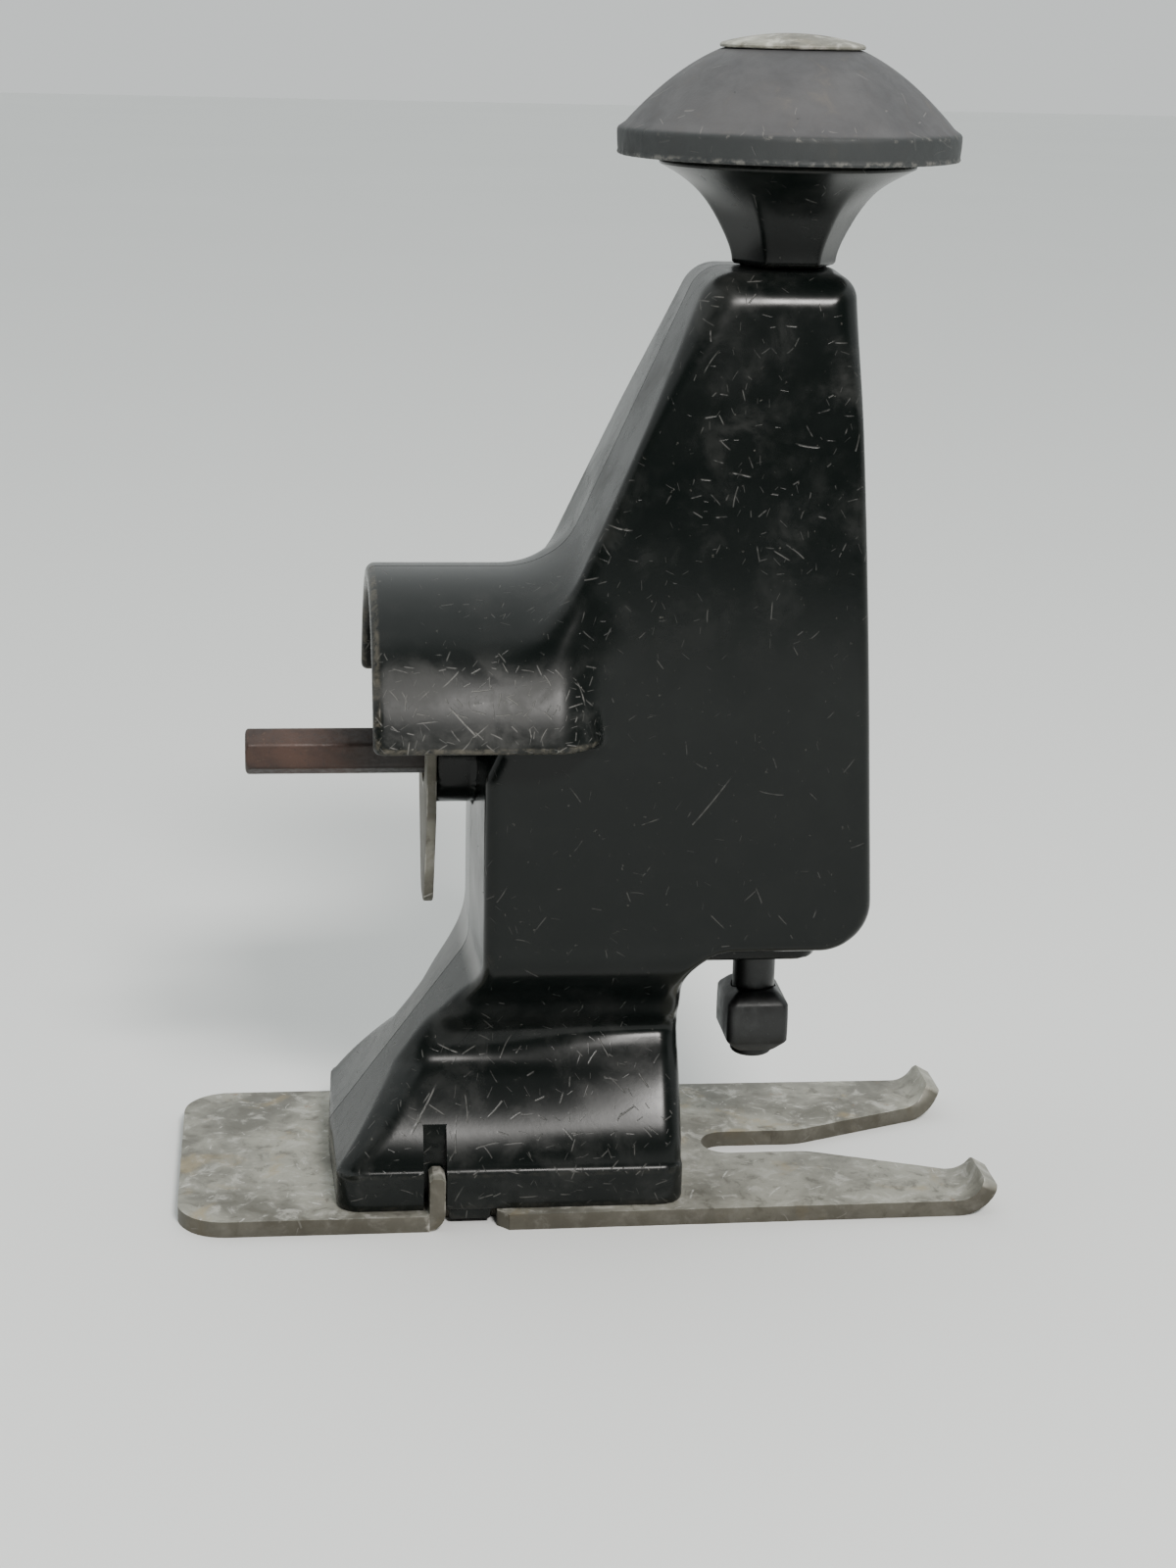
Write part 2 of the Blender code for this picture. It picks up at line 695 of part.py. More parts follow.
def sole_outline():
    tip = flat_tip_x()
    back = SOLE_BACK
    wide = SOLE_HALF_WIDTH
    inner = TAB_INNER_Y
    right = (
        (tip, FORK_TIP_HALF_GAP, 1.5 * MM),
        (tip, wide - 1.0 * MM, 2.0 * MM),
        (NOTCH_FRONT + 2.2 * MM, wide, 0),
        (NOTCH_FRONT, wide - 2.2 * MM, 0),
        (NOTCH_FRONT, inner, 0),
        (TAB_BACK, inner, 0),
        (TAB_BACK, wide, 0),
    )
    corners = [(FORK_FLARE_X, FORK_HALF_GAP, 12 * MM)]
    corners += list(right)
    corners += [(back, wide, SOLE_CORNER), (back, -wide, SOLE_CORNER)]
    corners += [(x, -y, r) for x, y, r in reversed(right)]
    corners += [(FORK_FLARE_X, -FORK_HALF_GAP, 12 * MM)]
    corners += [(FORK_ROOT_X, -FORK_HALF_GAP, FORK_HALF_GAP * 0.98)]
    corners += [(FORK_ROOT_X, FORK_HALF_GAP, FORK_HALF_GAP * 0.98)]
    return rounded_outline(corners, 6)


def bend_tips(bm):
    """Roll the fork's tips up round a bar lying across the plate."""
    radius = TIP_BEND_RADIUS
    for vert in bm.verts:
        over = vert.co.x - TIP_BEND_X
        if over <= 0:
            continue
        angle = over / (radius + SOLE_THICKNESS / 2)
        out = radius + SOLE_THICKNESS - vert.co.z
        vert.co.x = TIP_BEND_X + out * math.sin(angle)
        vert.co.z = radius + SOLE_THICKNESS - out * math.cos(angle)


def sole_plate():
    mesh = flat_mesh("sole_plate", sole_outline(), SOLE_THICKNESS / 2)
    mesh.transform(Matrix.Translation((0, 0, SOLE_THICKNESS / 2)))
    bm = bmesh.new()
    bm.from_mesh(mesh)
    for k in range(5):
        everything = bm.verts[:] + bm.edges[:] + bm.faces[:]
        bmesh.ops.bisect_plane(bm, geom=everything, plane_co=(TIP_BEND_X + k * 1.7 * MM, 0, 0),
                               plane_no=(1, 0, 0), dist=0.000001)
    bmesh.ops.triangulate(bm, faces=bm.faces)
    bend_tips(bm)
    bm.to_mesh(mesh)
    bm.free()
    plate = add_object("sole_plate", mesh, PLATED_STEEL)
    for side in (-1, 1):
        trim = 0.1 * MM
        y = sorted((side * (TAB_INNER_Y + trim), side * (SOLE_HALF_WIDTH - trim)))
        join(plate, box("tab_" + ("near" if side < 0 else "far"), (TAB_BACK - 0.8 * MM, y[0], 0.1 * MM),
                        (TAB_FRONT, y[1], TAB_TOP)))


def tongue_plate():
    """Plate against the rear boss, with a rounded tongue hanging below the shaft."""
    wide = TONGUE_HALF_WIDTH
    tip = TONGUE_TIP_HALF
    corners = (
        (wide, TONGUE_TOP, 5 * MM),
        (-wide, TONGUE_TOP, 5 * MM),
        (-wide, TONGUE_SHOULDER, 8 * MM),
        (-tip, TONGUE_TIP, tip * 0.98),
        (tip, TONGUE_TIP, tip * 0.98),
        (wide, TONGUE_SHOULDER, 8 * MM),
    )
    mesh = flat_mesh("tongue_plate", rounded_outline(corners, 5), TONGUE_THICKNESS / 2)
    mesh.transform(Matrix(((0, 0, 1, 0), (1, 0, 0, 0), (0, 1, 0, 0), (0, 0, 0, 1))))
    mesh.transform(Matrix.Translation((BOSS_BACK - GAP - TONGUE_THICKNESS / 2, 0, 0)))
    plate = add_object("tongue_plate", mesh, PLATED_STEEL)
    bm = bmesh.new()
    start = BOSS_BACK - 5 * MM
    rod_mesh(bm, "X", (start, 0, SHAFT_Z), 8 * MM, TONGUE_BORE, 28)
    for side in (-1, 1):
        rod_mesh(bm, "X", (start, side * TONGUE_SCREW_Y, TONGUE_SCREW_Z), 8 * MM,
                 TONGUE_SCREW_RADIUS + GAP, 14)
    cut(plate, add_object("tongue_holes", mesh_from(bm, "tongue_holes")))


def tongue_screws():
    face = BOSS_BACK - TONGUE_THICKNESS - 2 * GAP
    for side, name in ((-1, "near"), (1, "far")):
        slotted_screw("tongue_screw_" + name, "-X", (face, side * TONGUE_SCREW_Y, TONGUE_SCREW_Z),
                      (TONGUE_HEAD_RADIUS, TONGUE_HEAD_HEIGHT),
                      (TONGUE_SCREW_RADIUS, BOSS_BACK + 9 * MM - face), PLATED_STEEL)


def shaft_bushes():
    inner = JOURNAL_RADIUS + GAP
    for name, (start, length), bore, look in (
            ("rear_shaft_bush", REAR_BUSH, inner, BRONZE),
            ("bearing_spacer", BEARING_SPACER, JOURNAL_RADIUS + 1.2 * MM, BRIGHT_STEEL),
            ("front_shaft_bush", FRONT_BUSH, inner, BRONZE)):
        ring(name, "X", (BOSS_BACK + start, 0, SHAFT_Z), length, bore, BUSH_RADIUS, look)


def drive_shaft():
    corner = SHAFT_FLATS / math.sqrt(3)
    shaft = cylinder("drive_shaft", "X", (SHAFT_END, 0, SHAFT_Z), HEX_TO - SHAFT_END, corner,
                     RUSTY_STEEL, sides=6)
    chamfer = shaft.modifiers.new("ends", "BEVEL")
    chamfer.width = 0.6 * MM
    chamfer.segments = 1
    chamfer.limit_method = "ANGLE"
    chamfer.angle_limit = math.radians(80)
    start = HEX_TO - 1 * MM
    journal = cylinder("shaft_journal", "X", (start, 0, SHAFT_Z), DISC_FLOOR - GAP - start,
                       JOURNAL_RADIUS, sides=32)
    join(shaft, journal)


def crank():
    thick = DISC_FRONT - DISC_BACK
    floor = DISC_FLOOR - DISC_BACK
    bore = JOURNAL_RADIUS + GAP
    profile = ((0, thick), (DISC_RADIUS, thick), (DISC_RADIUS, 0), (bore, 0), (bore, floor), (0, floor))
    disc = turned("crank_disc", profile, "X", (DISC_BACK, 0, SHAFT_Z), DARK_STEEL, 40, closed=False)
    pin_back = DISC_FLOOR + 0.6 * MM
    hole = cylinder("crank_pin_hole", "X", (pin_back - GAP, CRANK_THROW, SHAFT_Z), 10 * MM,
                    PIN_RADIUS + GAP, sides=24)
    cut(disc, hole)
    cylinder("crank_pin", "X", (pin_back, CRANK_THROW, SHAFT_Z), PIN_FRONT - pin_back, PIN_RADIUS,
             BRIGHT_STEEL)
    ring("crank_roller", "X", (DISC_FRONT + GAP, CRANK_THROW, SHAFT_Z), 4.4 * MM,
         PIN_RADIUS + GAP, ROLLER_RADIUS, BRIGHT_STEEL)
    ring("thrust_washer", "X", (CHAMBER_BACK + 0.2 * MM, 0, SHAFT_Z), 1.1 * MM,
         JOURNAL_RADIUS + GAP, BUSH_RADIUS, BRIGHT_STEEL)


def plunger_rod():
    chamfer = 0.8 * MM
    profile = (
        (0, ROD_TOP),
        (ROD_RADIUS - chamfer, ROD_TOP),
        (ROD_RADIUS, ROD_TOP - chamfer),
        (ROD_RADIUS, ROD_BOTTOM + chamfer),
        (ROD_RADIUS - chamfer, ROD_BOTTOM),
        (0, ROD_BOTTOM),
    )
    rod = turned("plunger_rod", profile, "Z", (ROD_X, 0, 0), DARK_STEEL, closed=False)
    cut(rod, cylinder("yoke_pin_hole", "Y", (ROD_X, -20 * MM, YOKE_PIN_Z), 40 * MM,
                      YOKE_PIN_RADIUS + GAP, sides=16))


def yoke():
    """Slotted plate behind the rod and the hub that holds it to the rod."""
    low = SHAFT_Z - YOKE_HALF_HEIGHT
    high = SHAFT_Z + YOKE_HALF_HEIGHT
    plate_front = YOKE_BACK + YOKE_PLATE
    plate = box("yoke", (YOKE_BACK, -YOKE_HALF_WIDTH, low), (plate_front, YOKE_HALF_WIDTH, high),
                DARK_STEEL, (ROD_X, 0, SHAFT_Z))
    join(plate, box("yoke_hub", (plate_front - 1 * MM, -YOKE_HUB_HALF, low + 1.4 * MM),
                    (ROD_X + YOKE_HUB_HALF, YOKE_HUB_HALF, high - 1.4 * MM)))
    slot_half = ROLLER_RADIUS + 0.15 * MM
    slot_reach = CRANK_THROW + ROLLER_RADIUS + 1 * MM
    cut(plate, box("yoke_slot", (YOKE_BACK - 1 * MM, -slot_reach, SHAFT_Z - slot_half),
                   (YOKE_BACK + YOKE_SLOT_DEPTH, slot_reach, SHAFT_Z + slot_half)))
    cut(plate, cylinder("yoke_bore", "Z", (ROD_X, 0, low - 5 * MM), 40 * MM, ROD_RADIUS + GAP))
    cut(plate, cylinder("yoke_cross_hole", "Y", (ROD_X, -20 * MM, YOKE_PIN_Z), 40 * MM,
                        YOKE_PIN_RADIUS + GAP, sides=16))
    cylinder("yoke_pin", "Y", (ROD_X, -YOKE_HUB_HALF + GAP, YOKE_PIN_Z),
             2 * (YOKE_HUB_HALF - GAP), YOKE_PIN_RADIUS, BRIGHT_STEEL, 16)


def rod_guides():
    for name, (low, high), look in (("lower_rod_bush", LOWER_BUSH, BRONZE),
                                    ("felt_wiper", FELT, FELT_WOOL),
                                    ("upper_rod_bush", UPPER_BUSH, BRONZE)):
        ring(name, "Z", (ROD_X, 0, low), high - low, ROD_RADIUS + GAP, BUSH_RADIUS, look)


def blade_clamp():
    half_x = CLAMP_HALF_X
    half_y = CLAMP_HALF_Y
    block = box("blade_clamp", (ROD_X - half_x, -half_y, CLAMP_BOTTOM),
                (ROD_X + half_x, half_y, CLAMP_TOP), DARK_STEEL, (ROD_X, 0, CLAMP_SCREW_Z))
    edges = block.modifiers.new("edges", "BEVEL")
    edges.width = 1.8 * MM
    edges.segments = 2
    cut(block, cylinder("clamp_bore", "Z", (ROD_X, 0, CLAMP_BOTTOM - 5 * MM), 30 * MM,
                        ROD_RADIUS + GAP))
    cut(block, cylinder("clamp_screw_hole", "Y", (ROD_X, ROD_RADIUS - 1 * MM, CLAMP_SCREW_Z),
                        10 * MM, CLAMP_SCREW_RADIUS + GAP, sides=16))
    start = ROD_RADIUS + GAP
    screw = cylinder("clamp_screw", "Y", (ROD_X, start, CLAMP_SCREW_Z), half_y + 2 * MM - start,
                     CLAMP_SCREW_RADIUS, BRIGHT_STEEL, 16)
    join(screw, cylinder("clamp_screw_head", "Y", (ROD_X, half_y + GAP, CLAMP_SCREW_Z), 3 * MM,
                         4.4 * MM, sides=24))
    top = half_y + GAP + 3 * MM
    cut(screw, box("clamp_screw_slot", (ROD_X - 6 * MM, top - 1.2 * MM, CLAMP_SCREW_Z - 0.6 * MM),
                   (ROD_X + 6 * MM, top + 1 * MM, CLAMP_SCREW_Z + 0.6 * MM)))


def knob_stem():
    """Flared neck under the knob: a quarter-ellipse from the housing up to the flare."""
    bottom = HOUSING_TOP + GAP
    flare = STEM_FLARE
    rise = STEM_TOP - 1 * MM - bottom
    profile = [(flare - 3 * MM, STEM_TOP), (flare, STEM_TOP - 1 * MM)]
    for k in range(1, 9):
        angle = math.pi / 2 * k / 8
        radius = flare - (flare - STEM_RADIUS) * math.sin(angle)
        profile.append((radius, bottom + rise * math.cos(angle) ** 1.15))
    bore = BOLT_RADIUS + GAP
    profile += [(bore, bottom), (bore, STEM_TOP)]
    turned("knob_stem", profile, "Z", (ROD_X, 0, 0), BLACK_PLASTIC, 24)


def knob_dome():
    """Rubber dome with a straight rim, bored for the bolt."""
    bottom = STEM_TOP + GAP
    rise = DOME_TOP - RIM_TOP
    profile = [(CAP_RADIUS - 2 * MM, DOME_TOP)]
    for k in range(9):
        share = k / 8
        radius = CAP_RADIUS + (KNOB_RADIUS - 0.6 * MM - CAP_RADIUS) * share
        profile.append((radius, DOME_TOP - rise * (0.55 * share + 0.45 * share * share)))
    profile.append((KNOB_RADIUS, RIM_TOP - 0.6 * MM))
    profile.append((KNOB_RADIUS, bottom + 0.8 * MM))
    profile.append((KNOB_RADIUS - 0.8 * MM, bottom))
    bore = BOLT_RADIUS + GAP
    profile += [(bore, bottom), (bore, DOME_TOP)]
    turned("knob_dome", profile, "Z", (ROD_X, 0, 0), DULL_RUBBER, 48)


def knob_bolt():
    """Domed cap in one piece with the bolt that holds knob and stem to the housing."""
    base = DOME_TOP + GAP
    crown = KNOB_TOP - base
    profile = [(0, KNOB_TOP)]
    for k in range(1, 6):
        share = k / 5
        profile.append((CAP_RADIUS * share, KNOB_TOP - (crown - 0.9 * MM) * share * share))
    profile += [(CAP_RADIUS, base), (BOLT_RADIUS, base), (BOLT_RADIUS, BOLT_BOTTOM), (0, BOLT_BOTTOM)]
    turned("knob_bolt", profile, "Z", (ROD_X, 0, 0), PLATED_STEEL, 32, closed=False)


def knob_nut():
    nut = cylinder("knob_nut", "Z", (ROD_X, 0, NUT_BOTTOM), NUT_TOP - NUT_BOTTOM, NUT_RADIUS,
                   BRIGHT_STEEL, 6)
    cut(nut, cylinder("knob_nut_bore", "Z", (ROD_X, 0, NUT_BOTTOM - 2 * MM), 12 * MM,
                      BOLT_RADIUS + GAP, sides=20))
    ring("knob_washer", "Z", (ROD_X, 0, NUT_TOP + GAP), LOFT_HIGH - GAP - NUT_TOP - GAP,
         BOLT_RADIUS + GAP, WASHER_RADIUS, BRIGHT_STEEL)


for make in (housing, housing_screws, sole_plate, tongue_plate, tongue_screws, shaft_bushes,
             drive_shaft, crank, plunger_rod, yoke, rod_guides, blade_clamp, knob_stem, knob_dome,
             knob_bolt, knob_nut):
    make()
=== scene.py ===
import math
import bmesh
import bpy
import numpy as np
from mathutils import Matrix, Vector

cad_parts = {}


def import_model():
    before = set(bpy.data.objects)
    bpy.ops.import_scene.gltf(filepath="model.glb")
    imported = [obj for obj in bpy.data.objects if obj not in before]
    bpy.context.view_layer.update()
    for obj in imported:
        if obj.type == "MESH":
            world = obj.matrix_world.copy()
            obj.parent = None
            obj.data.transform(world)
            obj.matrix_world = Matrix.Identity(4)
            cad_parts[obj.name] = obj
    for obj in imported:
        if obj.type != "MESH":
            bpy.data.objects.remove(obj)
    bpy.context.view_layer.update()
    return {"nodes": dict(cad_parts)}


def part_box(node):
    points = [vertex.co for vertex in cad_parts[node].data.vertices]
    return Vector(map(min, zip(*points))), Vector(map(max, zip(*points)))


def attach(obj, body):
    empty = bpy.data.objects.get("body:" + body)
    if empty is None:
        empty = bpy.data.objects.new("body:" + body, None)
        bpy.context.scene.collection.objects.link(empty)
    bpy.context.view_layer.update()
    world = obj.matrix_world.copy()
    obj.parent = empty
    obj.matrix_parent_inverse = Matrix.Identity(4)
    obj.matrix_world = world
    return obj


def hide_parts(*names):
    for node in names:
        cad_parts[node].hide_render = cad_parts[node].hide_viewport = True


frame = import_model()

# Lengths in this script are in millimetres, and become metres when a mesh or a light is made.
MM = 0.001
CONTACT = 0.05
NODES = frame["nodes"]


def node_box(name):
    """A CAD node's lowest and highest corner in millimetres."""
    low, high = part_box(name)
    return np.array(low) / MM, np.array(high) / MM


SHAFT_LOW, _ = node_box("drive_shaft")
ROD_LOW, ROD_HIGH = node_box("plunger_rod")
SOLE_LOW, SOLE_HIGH = node_box("sole_plate")
HOUSE_LOW, HOUSE_HIGH = node_box("housing_near_half")
SHAFT_Z = 87.2
ROD_X = (ROD_LOW[0] + ROD_HIGH[0]) / 2
SEAM = 0.15
SEAM_GROOVE = 1.2
LIP_CLEARANCE = 0.04
SOLE_THICKNESS = 3.2
FOOT_BOTTOM = SOLE_THICKNESS + CONTACT


# ---- mesh helpers

def new_object(name, mesh):
    thing = bpy.data.objects.new(name, mesh)
    bpy.context.scene.collection.objects.link(thing)
    return thing


def mesh_from(name, verts, faces):
    """A mesh in metres from corners in millimetres."""
    mesh = bpy.data.meshes.new(name)
    mesh.from_pydata([tuple(MM * np.asarray(v, float)) for v in verts], [], [list(f) for f in faces])
    mesh.validate()
    return mesh


def from_bmesh(name, bm):
    bmesh.ops.recalc_face_normals(bm, faces=bm.faces)
    mesh = bpy.data.meshes.new(name)
    bm.to_mesh(mesh)
    bm.free()
    mesh.transform(Matrix.Scale(MM, 4))
    return mesh


def solid_mesh(name, verts, faces):
    bm = bmesh.new()
    made = [bm.verts.new(v) for v in verts]
    for face in faces:
        bm.faces.new([made[k] for k in face])
    return from_bmesh(name, bm)


def box_mesh(low, high):
    bm = bmesh.new()
    size = Vector(high) - Vector(low)
    middle = (Vector(high) + Vector(low)) / 2
    bmesh.ops.create_cube(bm, size=1, matrix=Matrix.Translation(middle) @ Matrix.Diagonal((*size, 1)))
    return from_bmesh("box", bm)


AXES = {
    "X": Matrix(((0, 0, 1, 0), (0, 1, 0, 0), (-1, 0, 0, 0), (0, 0, 0, 1))),
    "Y": Matrix(((1, 0, 0, 0), (0, 0, 1, 0), (0, -1, 0, 0), (0, 0, 0, 1))),
    "Z": Matrix.Identity(4),
}


def lathe(name, profile, axis="Z", place=(0, 0, 0), steps=96, shape=None):
    """Turns (radius, height) points into a closed mesh. They run from pole to pole, or are a ring."""
    rings = []
    verts = []
    for radius, height in profile:
        if radius < 1e-6:
            rings.append([len(verts)])
            verts.append((0, 0, height))
            continue
        rings.append(list(range(len(verts), len(verts) + steps)))
        for k in range(steps):
            angle = 2 * math.pi * k / steps
            out = shape(angle, radius, height) if shape else radius
            verts.append((out * math.cos(angle), out * math.sin(angle), height))
    faces = []
    pairs = list(zip(rings, rings[1:]))
    if len(rings[0]) > 1 and len(rings[-1]) > 1:
        pairs.append((rings[-1], rings[0]))
    for one, two in pairs:
        for k in range(steps):
            n = (k + 1) % steps
            if len(one) == 1:
                faces.append((one[0], two[k], two[n]))
            elif len(two) == 1:
                faces.append((one[k], two[0], one[n]))
            else:
                faces.append((one[k], two[k], two[n], one[n]))
    mesh = mesh_from(name, verts, faces)
    bm = bmesh.new()
    bm.from_mesh(mesh)
    bmesh.ops.recalc_face_normals(bm, faces=bm.faces)
    bm.to_mesh(mesh)
    bm.free()
    turn = Matrix.Translation(Vector(place) * MM) @ AXES[axis]
    mesh.transform(turn)
    return mesh


def rod_mesh(axis, start, length, radius, steps=32):
    """A cylinder from the point start, running length along +axis."""
    profile = ((0, 0), (radius, 0), (radius, length), (0, length))
    return lathe("rod", profile, axis, start, steps)


def combined(name, mesh, others, operation, solver="MANIFOLD"):
    """The mesh after one boolean with each of the others, which are used up."""
    thing = new_object(name, mesh)
    helpers = []
    for other in others:
        helper = new_object("helper", other)
        helpers.append(helper)
        step = thing.modifiers.new("step", "BOOLEAN")
        step.operation = operation
        step.solver = solver
        step.object = helper
    seen = thing.evaluated_get(bpy.context.evaluated_depsgraph_get())
    result = bpy.data.meshes.new_from_object(seen)
    for used in [thing] + helpers:
        bpy.data.objects.remove(used, do_unlink=True)
    return result


def mirrored(mesh):
    copy = mesh.copy()
    copy.transform(Matrix.Diagonal((1, -1, 1, 1)))
    copy.flip_normals()
    return copy


def corners_of(mesh):
    co = np.empty(len(mesh.vertices) * 3)
    mesh.vertices.foreach_get("co", co)
    return co.reshape(-1, 3) / MM


def smooth_but(mesh, degrees):
    """Smooth shading, with edges sharper than the angle kept crisp."""
    mesh.shade_smooth()
    mesh.set_sharp_from_angle(angle=math.radians(degrees))


def surface_coordinates(mesh, hood=False):
    """UV layer 'surface' in metres: along the face, whichever way it looks."""
    layer = mesh.uv_layers.get("surface") or mesh.uv_layers.new(name="surface")
    co = corners_of(mesh)
    uv = np.empty((len(mesh.loops), 2))
    for face in mesh.polygons:
        normal = face.normal
        loops = list(face.loop_indices)
        at = co[[mesh.loops[i].vertex_index for i in loops]]
        middle = at.mean(0)
        out = math.hypot(middle[1], middle[2] - SHAFT_Z)
        round_hood = hood and middle[0] < -4 and middle[2] > 94 and 33 < out < 38
        if round_hood and abs(normal.x) < 0.7:
            angle = np.arctan2(at[:, 1], at[:, 2] - SHAFT_Z)
            u, v = at[:, 0], angle * HOOD_RADIUS
        elif abs(normal.y) > 0.62:
            u, v = at[:, 0], at[:, 2]
        elif abs(normal.z) > abs(normal.x):
            u, v = at[:, 0], at[:, 1] + 300
        else:
            u, v = at[:, 2] + 300, at[:, 1]
        uv[loops, 0] = u * MM
        uv[loops, 1] = v * MM
    layer.data.foreach_set("uv", uv.ravel())


def edge_attribute(mesh, values):
    made = mesh.attributes.get("edge") or mesh.attributes.new("edge", "FLOAT", "POINT")
    made.data.foreach_set("value", np.asarray(values, np.float32))


# ---- housing field

HOUSING_CORNERS = (
    (-50.2, -6.0, 0.0),
    (-50.2, 10.8, 2.6),
    (-22.6, 48.3, 10.0),
    (-22.6, 88.2, 6.0),
    (19.2, 181.0, 7.0),
    (46.9, 181.0, 5.0),
    (54.0, 52.5, 10.5),
    (18.4, 52.5, 8.0),
    (18.4, -6.0, 0.0),
)
EDGE_RADIUS = 2.5
FOOT_EDGE_RADIUS = 4.2
TOP_EDGE_RADIUS = 5.6
DRAFT = 0.035
SIDE_DEPTH = 26.5
SIDE_CURVE_START = 90.0
SIDE_CURVE_RADIUS = 405.0
SKIRT_TOP = 10.8
SKIRT_DEPTH = 29.3
FOOT_FRONT_DEPTHS = ((14.0, 28.1), (17.0, 27.1), (20.0, 25.4), (23.0, 23.4), (26.0, 21.2), (29.0, 18.7),
                     (32.0, 15.9), (34.0, 14.6))
FOOT_BACK_DEPTHS = ((14.0, 27.6), (17.0, 26.0), (20.0, 23.8), (23.0, 21.1), (26.0, 18.0), (28.5, 15.2),
                    (30.5, 14.2), (34.0, 14.2))
SKIRT_DEPTHS = ((-10.0, 28.7), (3.0, 28.7), (10.7, 28.6))
SIDE_DEPTHS = (
    (38.0, 16.8),
    (42.0, 19.0),
    (47.0, 23.6),
    (51.0, 26.2),
    (56.0, 26.5),
    (90.0, 26.5),
)
HOOD_RADIUS = 36.4
HOOD_WALL = 3.8
HOOD_BACK = -42.9
HOOD_FRONT = -0.6
HOOD_FRONT_ROUND = 9.0
HOOD_EDGE_Z = 95.6
NECK_BACK = -22.6
TONGUE_SCREW_Y = 9
TONGUE_SCREW_Z = 103
BOSS_BACK = -29.8


def corner_shape(corners, i):
    """A corner's place, unit directions to its neighbours, half angle and bisector. The last value
    is True where it bulges."""
    here = np.array(corners[i][:2])
    before = np.array(corners[i - 1][:2]) - here
    after = np.array(corners[(i + 1) % len(corners)][:2]) - here
    before, after = before / np.hypot(*before), after / np.hypot(*after)
    half = math.acos(float(before @ after)) / 2
    middle = (before + after) / np.hypot(*(before + after))
    return here, before, after, half, middle, -before[0] * after[1] + before[1] * after[0] < 0


def outline_parts(corners):
    """Straight runs and arcs of the rounded outline. Its inside lies on the right."""
    runs, arcs, ends = [], [], []
    for i, (_, _, radius) in enumerate(corners):
        here, before, after, half, middle, bulges = corner_shape(corners, i)
        if radius == 0:
            ends.append((here, here))
            continue
        centre = here + middle * radius / math.sin(half)
        reach = radius / math.tan(half)
        ends.append((here + before * reach, here + after * reach))
        arcs.append((centre, radius, -middle, math.sin(half), 1.0 if bulges else -1.0))
    for i in range(len(corners)):
        runs.append((ends[i][1], ends[(i + 1) % len(corners)][0]))
    return runs, arcs


RUNS, ARCS = outline_parts(HOUSING_CORNERS)


def outline_distance(x, z):
    """Signed distance to the housing's side outline, negative inside."""
    best = np.full(np.broadcast(x, z).shape, 1e9)
    for start, end in RUNS:
        run = end - start
        length = run @ run
        px, pz = x - start[0], z - start[1]
        t = np.clip((px * run[0] + pz * run[1]) / length, 0, 1)
        away = np.hypot(px - t * run[0], pz - t * run[1])
        signed = np.where(run[0] * pz - run[1] * px > 0, away, -away)
        best = np.where(away < np.abs(best), signed, best)
    for centre, radius, middle, spread, bulge in ARCS:
        px, pz = x - centre[0], z - centre[1]
        far = np.hypot(px, pz)
        inside_arc = px * middle[0] + pz * middle[1] >= spread * far
        signed = bulge * (far - radius)
        best = np.where(inside_arc & (np.abs(signed) <= np.abs(best) + 1e-9), signed, best)
    return best


def depth_table(foot):
    """Half thickness of the housing and its slope against height, through the given foot depths."""
    heights, depths = (np.array(row) for row in zip(*SKIRT_DEPTHS, *foot, *SIDE_DEPTHS))
    slopes = np.gradient(depths, heights)
    slopes[0] = slopes[1] = slopes[-1] = 0
    z = np.arange(-10, 190, 0.1)
    k = np.clip(np.searchsorted(heights, z, side="right") - 1, 0, len(heights) - 2)
    span = heights[k + 1] - heights[k]
    t = np.clip((z - heights[k]) / span, 0, 1)
    start = (2 * t**3 - 3 * t**2 + 1) * depths[k] + (t**3 - 2 * t**2 + t) * span * slopes[k]
    end = (3 * t**2 - 2 * t**3) * depths[k + 1] + (t**3 - t**2) * span * slopes[k + 1]
    rise = np.maximum(z - SIDE_CURVE_START, 0)
    depth = np.where(rise > 0, SIDE_DEPTH - rise**2 / (2 * SIDE_CURVE_RADIUS), start + end)
    return z, depth, np.gradient(depth, z)


TABLE_Z, FRONT_DEPTH, FRONT_SLOPE = depth_table(FOOT_FRONT_DEPTHS)
_, BACK_DEPTH, BACK_SLOPE = depth_table(FOOT_BACK_DEPTHS)


def ease(value, low, high):
    t = np.clip((value - low) / (high - low), 0, 1)
    return t * t * (3 - 2 * t)


def both(a, b, radius):
    """Inside both, with the edge between them rounded."""
    a, b = a + radius, b + radius
    corner = np.hypot(np.maximum(a, 0), np.maximum(b, 0))
    return np.minimum(np.maximum(a, b), 0) + corner - radius


def either(a, b, reach):
    """Inside either, with a fillet between them."""
    h = np.maximum(reach - np.abs(a - b), 0)
    return np.minimum(a, b) - h * h / (4 * reach)


